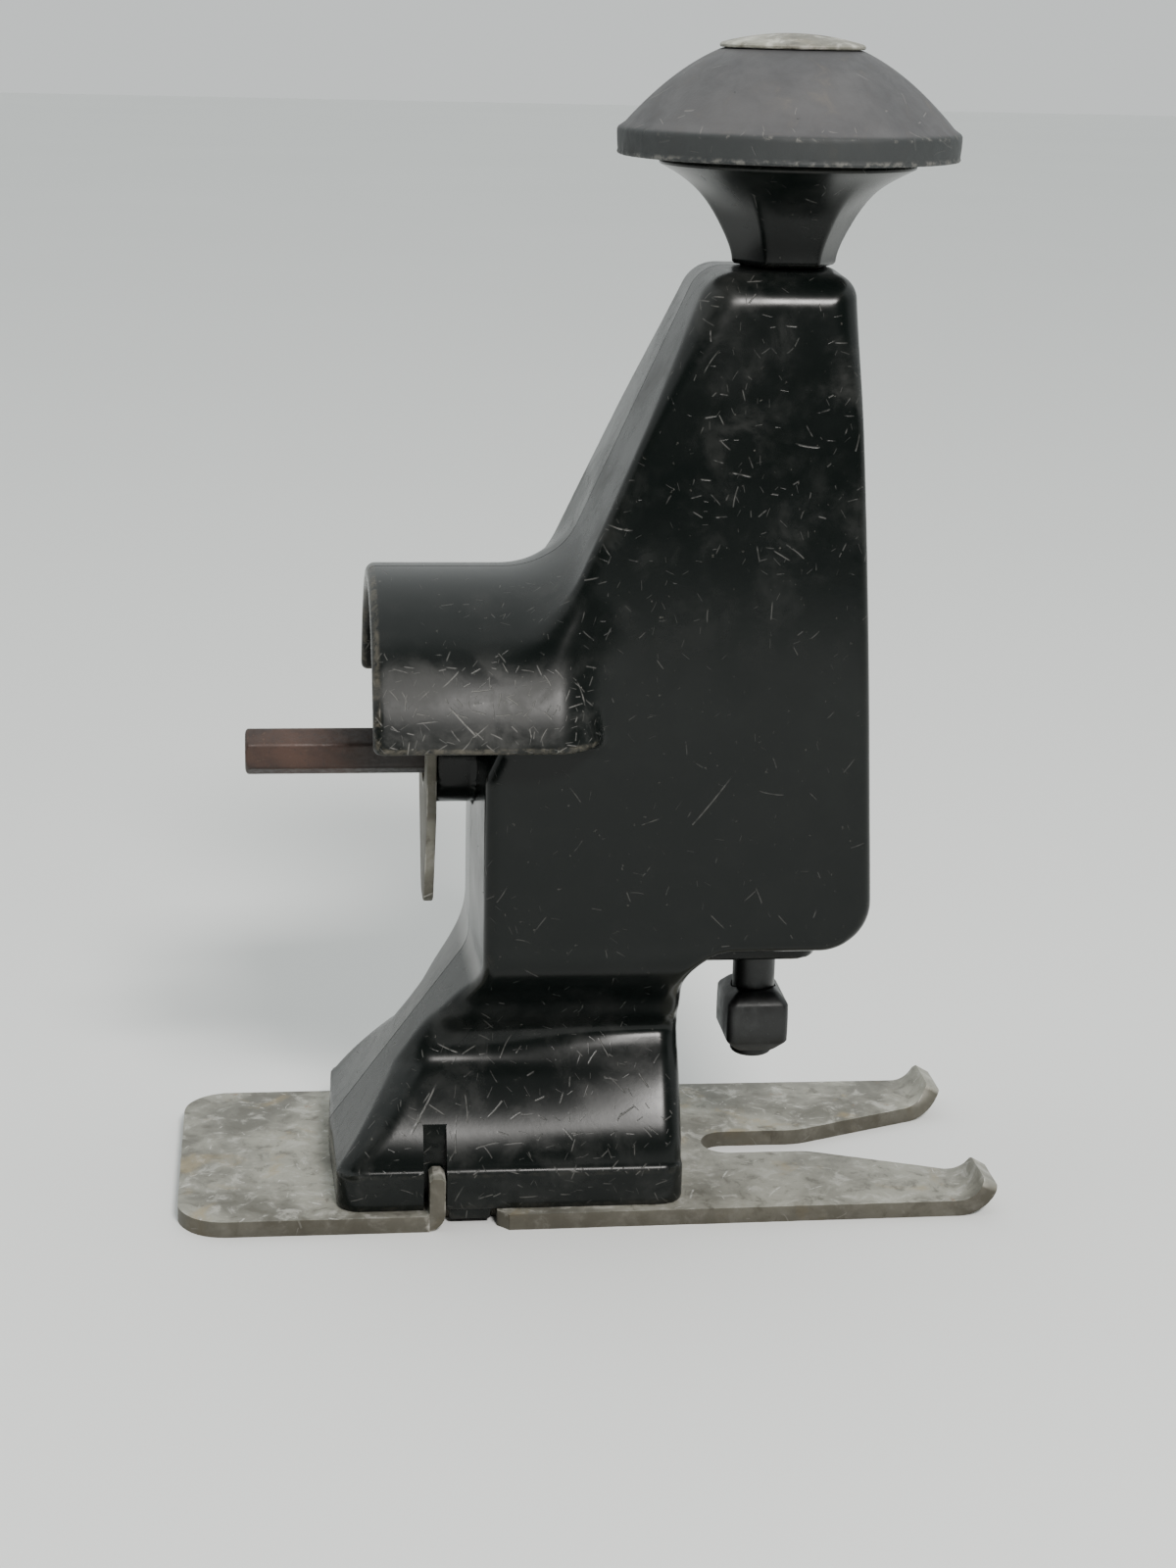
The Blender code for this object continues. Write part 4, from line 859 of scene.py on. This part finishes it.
class Look:
    """A node material. Sockets given by name are fixed; the methods add nodes and return an output."""

    def __init__(self, name, **fixed):
        self.material = bpy.data.materials.new(name)
        self.material.use_nodes = True
        self.tree = self.material.node_tree
        self.shader = self.tree.nodes["Principled BSDF"]
        for socket, value in fixed.items():
            self.shader.inputs[socket.replace("_", " ")].default_value = value
        self.place = self.add("TexCoord").outputs["Object"]
        self.x, _, self.z = self.add("SeparateXYZ", {0: self.place}).outputs
        self.colour = None

    def add(self, kind, inputs=None, **settings):
        made = self.tree.nodes.new("ShaderNode" + kind)
        for key, value in settings.items():
            setattr(made, key, value)
        for key, value in (inputs or {}).items():
            if isinstance(value, bpy.types.NodeSocket):
                self.tree.links.new(value, made.inputs[key])
            else:
                made.inputs[key].default_value = value
        return made

    def math(self, operation, a, b=0.0, c=0.0):
        return self.add("Math", {0: a, 1: b, 2: c}, operation=operation).outputs[0]

    def times(self, first, *more):
        for other in more:
            first = self.math("MULTIPLY", first, other)
        return first

    def line(self, value, slope, start):
        """The value times slope, plus start."""
        return self.math("MULTIPLY_ADD", value, slope, start)

    def less(self, a, b):
        return self.math("SUBTRACT", a, b)

    def most(self, first, *more):
        for other in more:
            first = self.math("MAXIMUM", first, other)
        return first

    def ramp(self, value, low, high, start=0.0, end=1.0):
        """Eases from start to end as value goes from low to high."""
        return self.add("MapRange", {0: value, 1: low, 2: high, 3: start, 4: end},
                        interpolation_type="SMOOTHSTEP").outputs[0]

    def noise(self, size, detail=4.0, rough=0.55, twist=0.0, at=None, stretch=None, seed=0.0):
        """Noise whose largest features are about size millimetres across."""
        place = at or self.place
        place = self.add("Mapping", {0: place, "Scale": stretch or (1, 1, 1),
                                     "Location": (seed, 0.7 * seed, -seed)}).outputs[0]
        return self.add("TexNoise", {"Vector": place, "Scale": 1 / (size * MM), "Detail": detail,
                                     "Roughness": rough, "Distortion": twist}).outputs[0]

    def mix(self, share, a, b):
        made = self.add("Mix", {0: share}, data_type="RGBA")
        for slot, value in ((6, a), (7, b)):
            if isinstance(value, bpy.types.NodeSocket):
                self.tree.links.new(value, made.inputs[slot])
            else:
                made.inputs[slot].default_value = (*value, 1)
        return made.outputs[2]

    def marks(self, at, cell, length, width, share, bend=0.3, seed=0.0):
        """Short scratches: at most one in each cell, in any direction and slightly bent. share is how
        many of the cells have one. Sizes are in millimetres."""
        scaled = self.add("Mapping", {0: at, "Scale": (1 / (cell * MM),) * 3,
                                      "Location": (seed, seed * 1.7, 0)}).outputs[0]
        cells = self.add("TexVoronoi", {"Vector": scaled, "Scale": 1.0}, voronoi_dimensions="2D")
        colour = self.add("SeparateColor", {0: cells.outputs["Color"]}).outputs
        offset = self.add("VectorMath", {0: scaled, 1: cells.outputs["Position"]}, operation="SUBTRACT")
        turn = self.times(colour[0], 6.2832)
        spun = self.add("VectorRotate", {"Vector": offset.outputs[0], "Angle": turn},
                        rotation_type="Z_AXIS").outputs[0]
        u, v, _ = self.add("SeparateXYZ", {0: spun}).outputs
        bow = self.times(self.less(colour[2], 0.5), 2 * bend)
        curve = self.times(self.times(u, u), bow)
        across = self.math("ABSOLUTE", self.math("ADD", v, curve))
        along = self.math("ABSOLUTE", u)
        reach = self.line(colour[2], 0.7 * length / cell / 2, 0.3 * length / cell / 2)
        thin = self.ramp(across, 0.25 * width / cell, 0.75 * width / cell, 1.0, 0.0)
        ends = self.ramp(self.math("DIVIDE", along, reach), 0.6, 1.0, 1.0, 0.0)
        picked = self.math("LESS_THAN", colour[1], share)
        return self.times(thin, ends, picked)

    def bump(self, height, distance, strength=1.0, after=None):
        inputs = {"Height": height, "Distance": distance * MM, "Strength": strength}
        if after is not None:
            inputs["Normal"] = after
        return self.add("Bump", inputs).outputs[0]

    def over(self, share, tint):
        """Lays a tint over the colour so far."""
        self.colour = self.mix(share, self.colour, tint)

    def finished(self, rough, normal=None):
        """Links the colour so far, a roughness and perhaps a bump, and returns the material."""
        for socket, value in (("Base Color", self.colour), ("Roughness", rough), ("Normal", normal)):
            if value is not None:
                self.tree.links.new(value, self.shader.inputs[socket])
        return self.material

    def uv(self):
        return self.add("UVMap", uv_map="surface").outputs[0]

    def edge(self):
        return self.add("Attribute", attribute_name="edge").outputs["Fac"]


def phenolic(name, worn=True):
    """Black moulding: glossy, hazed, scuffed, and worn tan-grey where it is handled."""
    g = Look(name, IOR=1.5, Specular_IOR_Level=0.21)
    uv = g.uv()
    haze = g.noise(34, 5, 0.6)
    grime = g.noise(9, 6, 0.62, 0.4, seed=3)
    speck = g.noise(1.1, 3, 0.6, seed=7)
    if worn:
        hood_x = g.ramp(g.x, -0.006, 0.004, 1.0, 0.0)
        low_hood = g.times(hood_x, g.ramp(g.z, 0.1145, 0.1075), g.ramp(g.z, 0.094, 0.0955))
        upper = g.times(g.ramp(g.z, 0.105, 0.14), g.ramp(g.noise(20, 4, 0.6, seed=2), 0.38, 0.6))
        foot = g.times(g.ramp(g.z, 0.05, 0.03), 0.35)
        rubbed = g.math("MINIMUM", g.math("ADD", g.most(low_hood, g.times(upper, 0.55)), foot), 1.0)
    else:
        rubbed = g.ramp(haze, 0.4, 0.8, 0.0, 0.25)
    patch = g.ramp(g.noise(13, 4, 0.6, seed=5), 0.36, 0.66)
    few = g.line(rubbed, 0.62, g.times(patch, 0.10))
    fine = g.marks(uv, 2.2, 2.6, 0.12, g.line(few, 1.1, 0.03), 0.12, 1.3)
    middle = g.marks(uv, 5.0, 6.0, 0.22, g.line(few, 0.95, 0.02), 0.2, 4.1)
    second = g.marks(uv, 3.1, 3.4, 0.2, g.line(few, 0.95, 0.01), -0.2, 9.2)
    long = g.marks(uv, 21.0, 17.0, 0.28, g.line(few, 0.3, 0.05), 0.15, 12.4)
    dots = g.times(g.ramp(speck, 0.69, 0.76), g.line(rubbed, 0.5, 0.25))
    lines = g.most(g.times(fine, 0.4), g.times(middle, 0.75), g.times(second, 0.6), long)
    broken = g.times(lines, g.ramp(g.noise(1.6, 3, 0.6, seed=9), 0.3, 0.6, 0.25, 1.0))
    edge = g.edge()
    chip = g.times(g.ramp(edge, 0.3, 0.62), g.ramp(g.noise(2.4, 6, 0.72, 0.5, seed=13), 0.4, 0.66))
    under_hood = g.times(g.ramp(g.x, 0.004, -0.004), g.ramp(g.z, 0.1, 0.0965))
    hot = g.most(g.ramp(g.x, -0.0365, -0.0415), under_hood)
    strong = g.times(hot, g.ramp(g.z, 0.09, 0.094)) if worn else 0.0
    chip = g.times(chip, g.line(strong, 0.4, 0.06))
    film = g.times(g.ramp(grime, 0.42, 0.68), g.line(rubbed, 0.85, 0.04))
    g.colour = g.mix(g.times(film, 0.55), (0.003, 0.0045, 0.004), (0.06, 0.06, 0.057))
    g.over(g.times(broken, g.line(rubbed, 0.32, 0.2)), (0.27, 0.265, 0.25))
    g.over(g.times(dots, 0.5), (0.3, 0.29, 0.26))
    g.over(chip, (0.15, 0.135, 0.105))
    rough = g.ramp(haze, 0.3, 0.75, 0.17, 0.27)
    rough = g.line(rubbed, 0.13, rough)
    rough = g.line(film, 0.18, rough)
    rough = g.line(broken, 0.25, rough)
    rough = g.math("MINIMUM", g.line(chip, 0.4, rough), 0.8)
    wave = g.bump(g.noise(14, 2, 0.4, seed=21), 0.05, 0.35)
    cuts = g.bump(g.less(g.times(grime, 0.25), broken), 0.05, 0.8, wave)
    return g.finished(rough, g.bump(speck, 0.012, 0.5, cuts))


def rubber():
    """Aged charcoal rubber with smudges, nicks and a fraying rim; its straight band carries painted
    shade.
    """
    g = Look("rubber", IOR=1.5, Specular_IOR_Level=0.42)
    cloud = g.noise(18, 5, 0.6, 0.3)
    smear = g.noise(5, 5, 0.66, 0.6, seed=4, stretch=(1, 1, 0.7))
    grain = g.noise(0.5, 3, 0.6, seed=8)
    uv = g.uv()
    nick = g.most(g.marks(uv, 7.0, 6.5, 0.28, 0.25, 0.7, 2.2),
                  g.marks(uv, 3.6, 3.8, 0.16, 0.2, 0.5, 5.7))
    pit = g.ramp(g.noise(2.6, 4, 0.6, seed=15), 0.7, 0.76)
    band = g.times(g.ramp(g.z, 0.2062, 0.2056), g.ramp(g.z, 0.2, 0.2005))
    g.colour = g.mix(g.ramp(cloud, 0.3, 0.7), (0.047, 0.047, 0.05), (0.074, 0.073, 0.075))
    g.over(g.times(g.ramp(smear, 0.55, 0.78), 0.5), (0.115, 0.105, 0.092))
    g.over(g.times(nick, 0.5), (0.17, 0.165, 0.155))
    g.over(g.times(pit, 0.8), (0.008, 0.008, 0.008))
    # Painted shade and painted reflection: the straight band is tinted near black and green-grey.
    g.over(g.times(band, 0.75), (0.012, 0.016, 0.016))
    fray = g.times(g.ramp(g.z, 0.2020, 0.2012), g.ramp(g.noise(1.3, 4, 0.66, seed=19), 0.46, 0.62))
    lip = g.times(band, g.ramp(g.z, 0.2048, 0.2054), g.ramp(g.noise(2.2, 4, 0.6, seed=23), 0.56, 0.68))
    g.over(g.times(g.most(fray, lip), 0.55), (0.17, 0.165, 0.15))
    rough = g.ramp(smear, 0.3, 0.75, 0.52, 0.72)
    low = g.bump(smear, 0.12, 0.4)
    cuts = g.less(grain, g.times(g.most(nick, pit), 2.0))
    return g.finished(rough, g.bump(cuts, 0.06, 0.55, low))


def plated(name, stain_and_shade=1.0, dark=1.0):
    """Old zinc plate: mottled grey and beige, stained, pitted, nicked bright, and darkened on its
    upright faces by painted shade.
    """
    g = Look(name, Metallic=0.45, IOR=1.6)
    broad = g.noise(24, 5, 0.6, 0.3)
    mottle = g.noise(4.6, 6, 0.68, 0.5, seed=4)
    fine = g.noise(0.9, 5, 0.65, seed=6)
    g.colour = g.mix(g.ramp(broad, 0.36, 0.64), (0.12 * dark, 0.116 * dark, 0.096 * dark),
                     (0.30 * dark, 0.295 * dark, 0.25 * dark))
    g.over(g.times(g.ramp(mottle, 0.5, 0.66), 0.75), (0.42 * dark, 0.415 * dark, 0.375 * dark))
    g.over(g.times(g.ramp(mottle, 0.48, 0.34), 0.75), (0.085, 0.078, 0.06))
    tan = g.times(g.ramp(g.noise(11, 4, 0.6, 0.5, seed=9), 0.56, 0.72), stain_and_shade)
    g.over(g.times(tan, 0.55), (0.30, 0.235, 0.12))
    rust = g.times(g.ramp(g.noise(7, 6, 0.7, 0.4, seed=12), 0.66, 0.74), stain_and_shade)
    g.over(g.times(rust, 0.7), (0.20, 0.085, 0.025))
    pits = g.ramp(fine, 0.64, 0.74)
    g.over(g.times(pits, 0.55), (0.05, 0.044, 0.036))
    uv = g.uv()
    nick = g.most(g.marks(uv, 8.0, 7.0, 0.35, 0.22, 0.4, 3.3),
                  g.marks(uv, 3.4, 3.2, 0.2, 0.18, 0.5, 8.1))
    nick = g.times(nick, g.ramp(g.noise(1.2, 3, 0.6, seed=17), 0.35, 0.6))
    g.over(g.times(nick, 0.6), (0.62, 0.61, 0.57))
    # Painted shade: faces that stand upright are darkened to dark brown, scaled like the stains.
    facing = g.add("SeparateXYZ", {0: g.add("NewGeometry").outputs["Normal"]}).outputs
    sideways = g.less(1.0, g.math("ABSOLUTE", facing[2]))
    upright_shade = g.times(g.ramp(sideways, 0.35, 0.8), stain_and_shade)
    g.over(g.times(upright_shade, 0.8), (0.05, 0.044, 0.03))
    edge = g.ramp(g.edge(), 0.3, 0.9)
    shine = g.times(edge, g.ramp(g.noise(5, 4, 0.6, seed=25), 0.5, 0.66))
    g.over(g.times(shine, 0.6), (0.6, 0.58, 0.53))
    rough = g.line(nick, -0.15, g.ramp(mottle, 0.3, 0.7, 0.52, 0.68))
    low = g.bump(mottle, 0.07, 0.5)
    return g.finished(rough, g.bump(g.less(fine, g.math("ADD", pits, nick)), 0.05, 0.6, low))


def rusty():
    """Shaft steel: brown rust, with painted shade darkening it from where it runs in under the hood."""
    g = Look("rusty_steel", Metallic=0.2, IOR=1.5)
    broad = g.noise(9, 5, 0.65, 0.4, stretch=(0.45, 1, 1))
    fine = g.noise(1.0, 5, 0.7, seed=3)
    g.colour = g.mix(g.ramp(broad, 0.35, 0.68), (0.022, 0.013, 0.010), (0.058, 0.029, 0.020))
    g.over(g.times(g.ramp(fine, 0.56, 0.7), 0.6), (0.10, 0.065, 0.048))
    g.over(g.times(g.ramp(fine, 0.44, 0.32), 0.7), (0.016, 0.011, 0.009))
    # Painted shade: the shaft turns nearly black from the hood's back edge inwards.
    near = g.ramp(g.math("ADD", g.x, g.times(broad, 0.012)), -0.043, -0.034)
    g.over(g.times(near, 0.85), (0.013, 0.012, 0.011))
    rough = g.ramp(fine, 0.35, 0.7, 0.42, 0.66)
    return g.finished(rough, g.bump(fine, 0.09, 0.7, g.bump(broad, 0.12, 0.5)))


def oily(name, tint=(0.02, 0.021, 0.021), metal=0.6):
    """Nearly black steel with a film of old oil."""
    g = Look(name, Metallic=metal, IOR=1.6)
    broad = g.noise(6, 5, 0.6, 0.3)
    fine = g.noise(0.8, 5, 0.68, seed=3)
    lighter = tuple(3.2 * c + 0.012 for c in tint)
    g.colour = g.mix(g.ramp(broad, 0.4, 0.7), tint, tuple(1.9 * c for c in tint))
    g.over(g.times(g.ramp(fine, 0.6, 0.72), 0.5), lighter)
    rough = g.ramp(broad, 0.3, 0.7, 0.36, 0.58)
    return g.finished(rough, g.bump(fine, 0.07, 0.6, g.bump(broad, 0.12, 0.5)))


def machined(name, tint, rough=0.34, metal=1.0):
    """Turned metal: clean, with fine tool marks and light staining."""
    g = Look(name, Metallic=metal)
    cloud = g.noise(4, 4, 0.6)
    fine = g.noise(0.35, 3, 0.6, seed=4)
    g.colour = g.mix(g.ramp(cloud, 0.35, 0.7), tint, tuple(0.62 * c for c in tint))
    rough = g.ramp(cloud, 0.3, 0.7, rough, rough + 0.18)
    return g.finished(rough, g.bump(fine, 0.02, 0.5))


def felt():
    g = Look("felt", Sheen_Weight=0.3)
    fine = g.noise(0.5, 6, 0.75, 1.2)
    g.colour = g.mix(g.ramp(fine, 0.35, 0.65), (0.09, 0.08, 0.06), (0.24, 0.21, 0.17))
    rough = g.ramp(fine, 0.3, 0.7, 0.85, 1.0)
    return g.finished(rough, g.bump(fine, 0.2, 0.8))


BLACK = phenolic("phenolic")
STEM_BLACK = phenolic("phenolic_stem", worn=False)
RUBBER = rubber()
ZINC = plated("zinc")
CAP_ZINC = plated("zinc_cap", stain_and_shade=0.3, dark=1.4)
RUST = rusty()
OILY = oily("oiled_steel")
GROUND = machined("ground_steel", (0.55, 0.55, 0.54))
BRONZE = machined("bronze", (0.5, 0.29, 0.13), 0.42, 0.9)
FELT = felt()


# ---- pieces

def bend_edges(mesh, reach=1.0):
    """Attribute 'edge' from the angle between faces that meet, for meshes with no field."""
    bm = bmesh.new()
    bm.from_mesh(mesh)
    values = np.zeros(len(bm.verts))
    for edge in bm.edges:
        if len(edge.link_faces) == 2 and edge.is_convex:
            angle = edge.calc_face_angle(0.0)
            for vert in edge.verts:
                values[vert.index] = max(values[vert.index], min(1.0, angle * reach))
    bm.free()
    edge_attribute(mesh, values)


def show(name, mesh, body, slot, look, *replaced, sharp=32, hood=False):
    piece = new_object(name, mesh)
    mesh.materials.clear()
    mesh.materials.append(look)
    for face in mesh.polygons:
        face.material_index = 0
    smooth_but(mesh, sharp)
    surface_coordinates(mesh, hood)
    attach(piece, body)
    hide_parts(*replaced)
    return piece


near_half, far_half = housing_halves()
for side_name, half in (("near", near_half), ("far", far_half)):
    edge_attribute(half, convexity(corners_of(half)))
    show("shell_" + side_name, half, "housing", "black_phenolic", BLACK,
         "housing_" + side_name + "_half", sharp=38, hood=True)

sole = sole_plate()
bend_edges(sole)
show("sole", sole, "housing", "zinc_plated_steel", ZINC, "sole_plate", sharp=40)
for name, make, body, slot, look, node in (
        ("stem", stem_mesh, "housing", "black_phenolic", STEM_BLACK, "knob_stem"),
        ("dome", dome_mesh, "housing", "charcoal_rubber", RUBBER, "knob_dome"),
        ("cap", cap_mesh, "housing", "zinc_plated_steel", CAP_ZINC, "knob_bolt"),
        ("shaft", shaft_mesh, "drive", "rusted_steel", RUST, "drive_shaft"),
        ("rod", rod_piece_mesh, "plunger", "oiled_dark_steel", OILY, "plunger_rod"),
        ("clamp", clamp_mesh, "plunger", "oiled_dark_steel", OILY, "blade_clamp"),
        ("tongue", tongue_mesh, "housing", "zinc_plated_steel", ZINC, "tongue_plate")):
    mesh = make()
    bend_edges(mesh)
    show(name, mesh, body, slot, look, node)

for number, (x, z) in enumerate(SCREW_PLACES, 1):
    mesh = slotted("screw", "Y", (x, 9.3, z), 3.7, 2.4, 1.9, 20.3)
    bend_edges(mesh)
    show(f"screw_{number}", mesh, "housing", "ground_steel", GROUND, f"housing_screw_{number}")
for side, side_name in ((-1, "near"), (1, "far")):
    seat = (-32.3, side * TONGUE_SCREW_Y, TONGUE_SCREW_Z)
    mesh = slotted("tongue_screw", "X", seat, 3.2, 2.0, 1.5, 11.4, way=-1)
    bend_edges(mesh)
    show("tongue_screw_" + side_name + "_head", mesh, "housing", "zinc_plated_steel", ZINC,
         "tongue_screw_" + side_name)

# CAD nodes that stay, with the look each gets.
CARRIED = (
    (BRONZE, ("rear_shaft_bush", "front_shaft_bush", "lower_rod_bush", "upper_rod_bush")),
    (GROUND, ("bearing_spacer", "thrust_washer", "crank_pin", "crank_roller", "yoke_pin",
              "clamp_screw", "knob_nut", "knob_washer")),
    (OILY, ("crank_disc", "yoke")),
    (FELT, ("felt_wiper",)),
)
RIM_BEVEL = 0.25
for look, names in CARRIED:
    for name in names:
        node = NODES[name]
        for holder in node.material_slots:
            holder.material = look
        rims = node.modifiers.new("rims", "BEVEL")
        rims.width = RIM_BEVEL * MM
        rims.segments = 2
        rims.limit_method = "ANGLE"
        rims.angle_limit = math.radians(50)


# ---- studio

def floor():
    bm = bmesh.new()
    bmesh.ops.create_grid(bm, x_segments=1, y_segments=1, size=6000)
    mesh = from_bmesh("floor", bm)
    g = Look("floor", Specular_IOR_Level=0.2)
    g.colour = g.mix(g.noise(400, 2), (0.70, 0.71, 0.70), (0.73, 0.74, 0.73))
    mesh.materials.append(g.finished(g.ramp(g.noise(300, 2, seed=2), 0.3, 0.7, 0.62, 0.7)))
    new_object("floor", mesh)


KEY_WATTS = 33
KEY_SIZE = (400, 250)
KEY_PLACE = Vector((330, -1150, 1180))
KEY_TARGET = Vector((0, 0, 70))


def key_light():
    """A soft light, high in front of the object."""
    light = bpy.data.lights.new("key", "AREA")
    light.shape = "RECTANGLE"
    light.size, light.size_y = KEY_SIZE[0] * MM, KEY_SIZE[1] * MM
    light.energy = KEY_WATTS
    light.color = (1.0, 0.97, 0.94)
    lamp = new_object("key", light)
    lamp.location = KEY_PLACE * MM
    lamp.rotation_euler = (KEY_TARGET - KEY_PLACE).to_track_quat("-Z", "Y").to_euler()


def world():
    """Plain pale surroundings: pale to the camera, brighter behind the object than in front."""
    made = bpy.data.worlds.new("studio")
    bpy.context.scene.world = made
    made.use_nodes = True
    tree = made.node_tree
    back = tree.nodes["Background"]
    split = tree.nodes.new("ShaderNodeSeparateXYZ")
    tree.links.new(tree.nodes.new("ShaderNodeTexCoord").outputs["Generated"], split.inputs[0])

    def fade(value, low, high, start, end):
        made = tree.nodes.new("ShaderNodeMapRange")
        made.interpolation_type = "SMOOTHSTEP"
        tree.links.new(value, made.inputs[0])
        for slot, number in enumerate((low, high, start, end), 1):
            made.inputs[slot].default_value = number
        return made.outputs[0]

    glow = tree.nodes.new("ShaderNodeMath")
    glow.operation = "MULTIPLY"
    tree.links.new(fade(split.outputs[1], -0.42, 0.02, 0.12, 1.0), glow.inputs[0])
    tree.links.new(fade(split.outputs[2], 0.0, 1.0, 0.78, 1.75), glow.inputs[1])
    path = tree.nodes.new("ShaderNodeLightPath")
    pick = tree.nodes.new("ShaderNodeMix")
    tree.links.new(path.outputs["Is Camera Ray"], pick.inputs[0])
    tree.links.new(glow.outputs[0], pick.inputs[2])
    pick.inputs[3].default_value = 0.84
    tree.links.new(pick.outputs[0], back.inputs["Strength"])
    back.inputs["Color"].default_value = (0.93, 0.97, 0.96, 1)


CAMERA_PLACE = Vector((-60.449, -509.704, 227.374))
CAMERA_LENS = 62.44


def camera():
    data = bpy.data.cameras.new("camera")
    data.lens = CAMERA_LENS
    data.sensor_width = 36
    data.sensor_fit = "AUTO"
    data.clip_end = 50
    thing = new_object("camera", data)
    yaw, pitch, roll = 0.1189, 0.2795, 0.0242
    forward = Vector((math.sin(yaw) * math.cos(pitch), math.cos(yaw) * math.cos(pitch),
                      -math.sin(pitch)))
    right0 = Vector((math.cos(yaw), -math.sin(yaw), 0))
    up0 = right0.cross(forward)
    right = math.cos(roll) * right0 + math.sin(roll) * up0
    up = -math.sin(roll) * right0 + math.cos(roll) * up0
    turn = Matrix((right, up, -forward)).transposed().to_4x4()
    thing.matrix_world = Matrix.Translation(CAMERA_PLACE * MM) @ turn
    bpy.context.scene.camera = thing


floor()
world()
key_light()
camera()
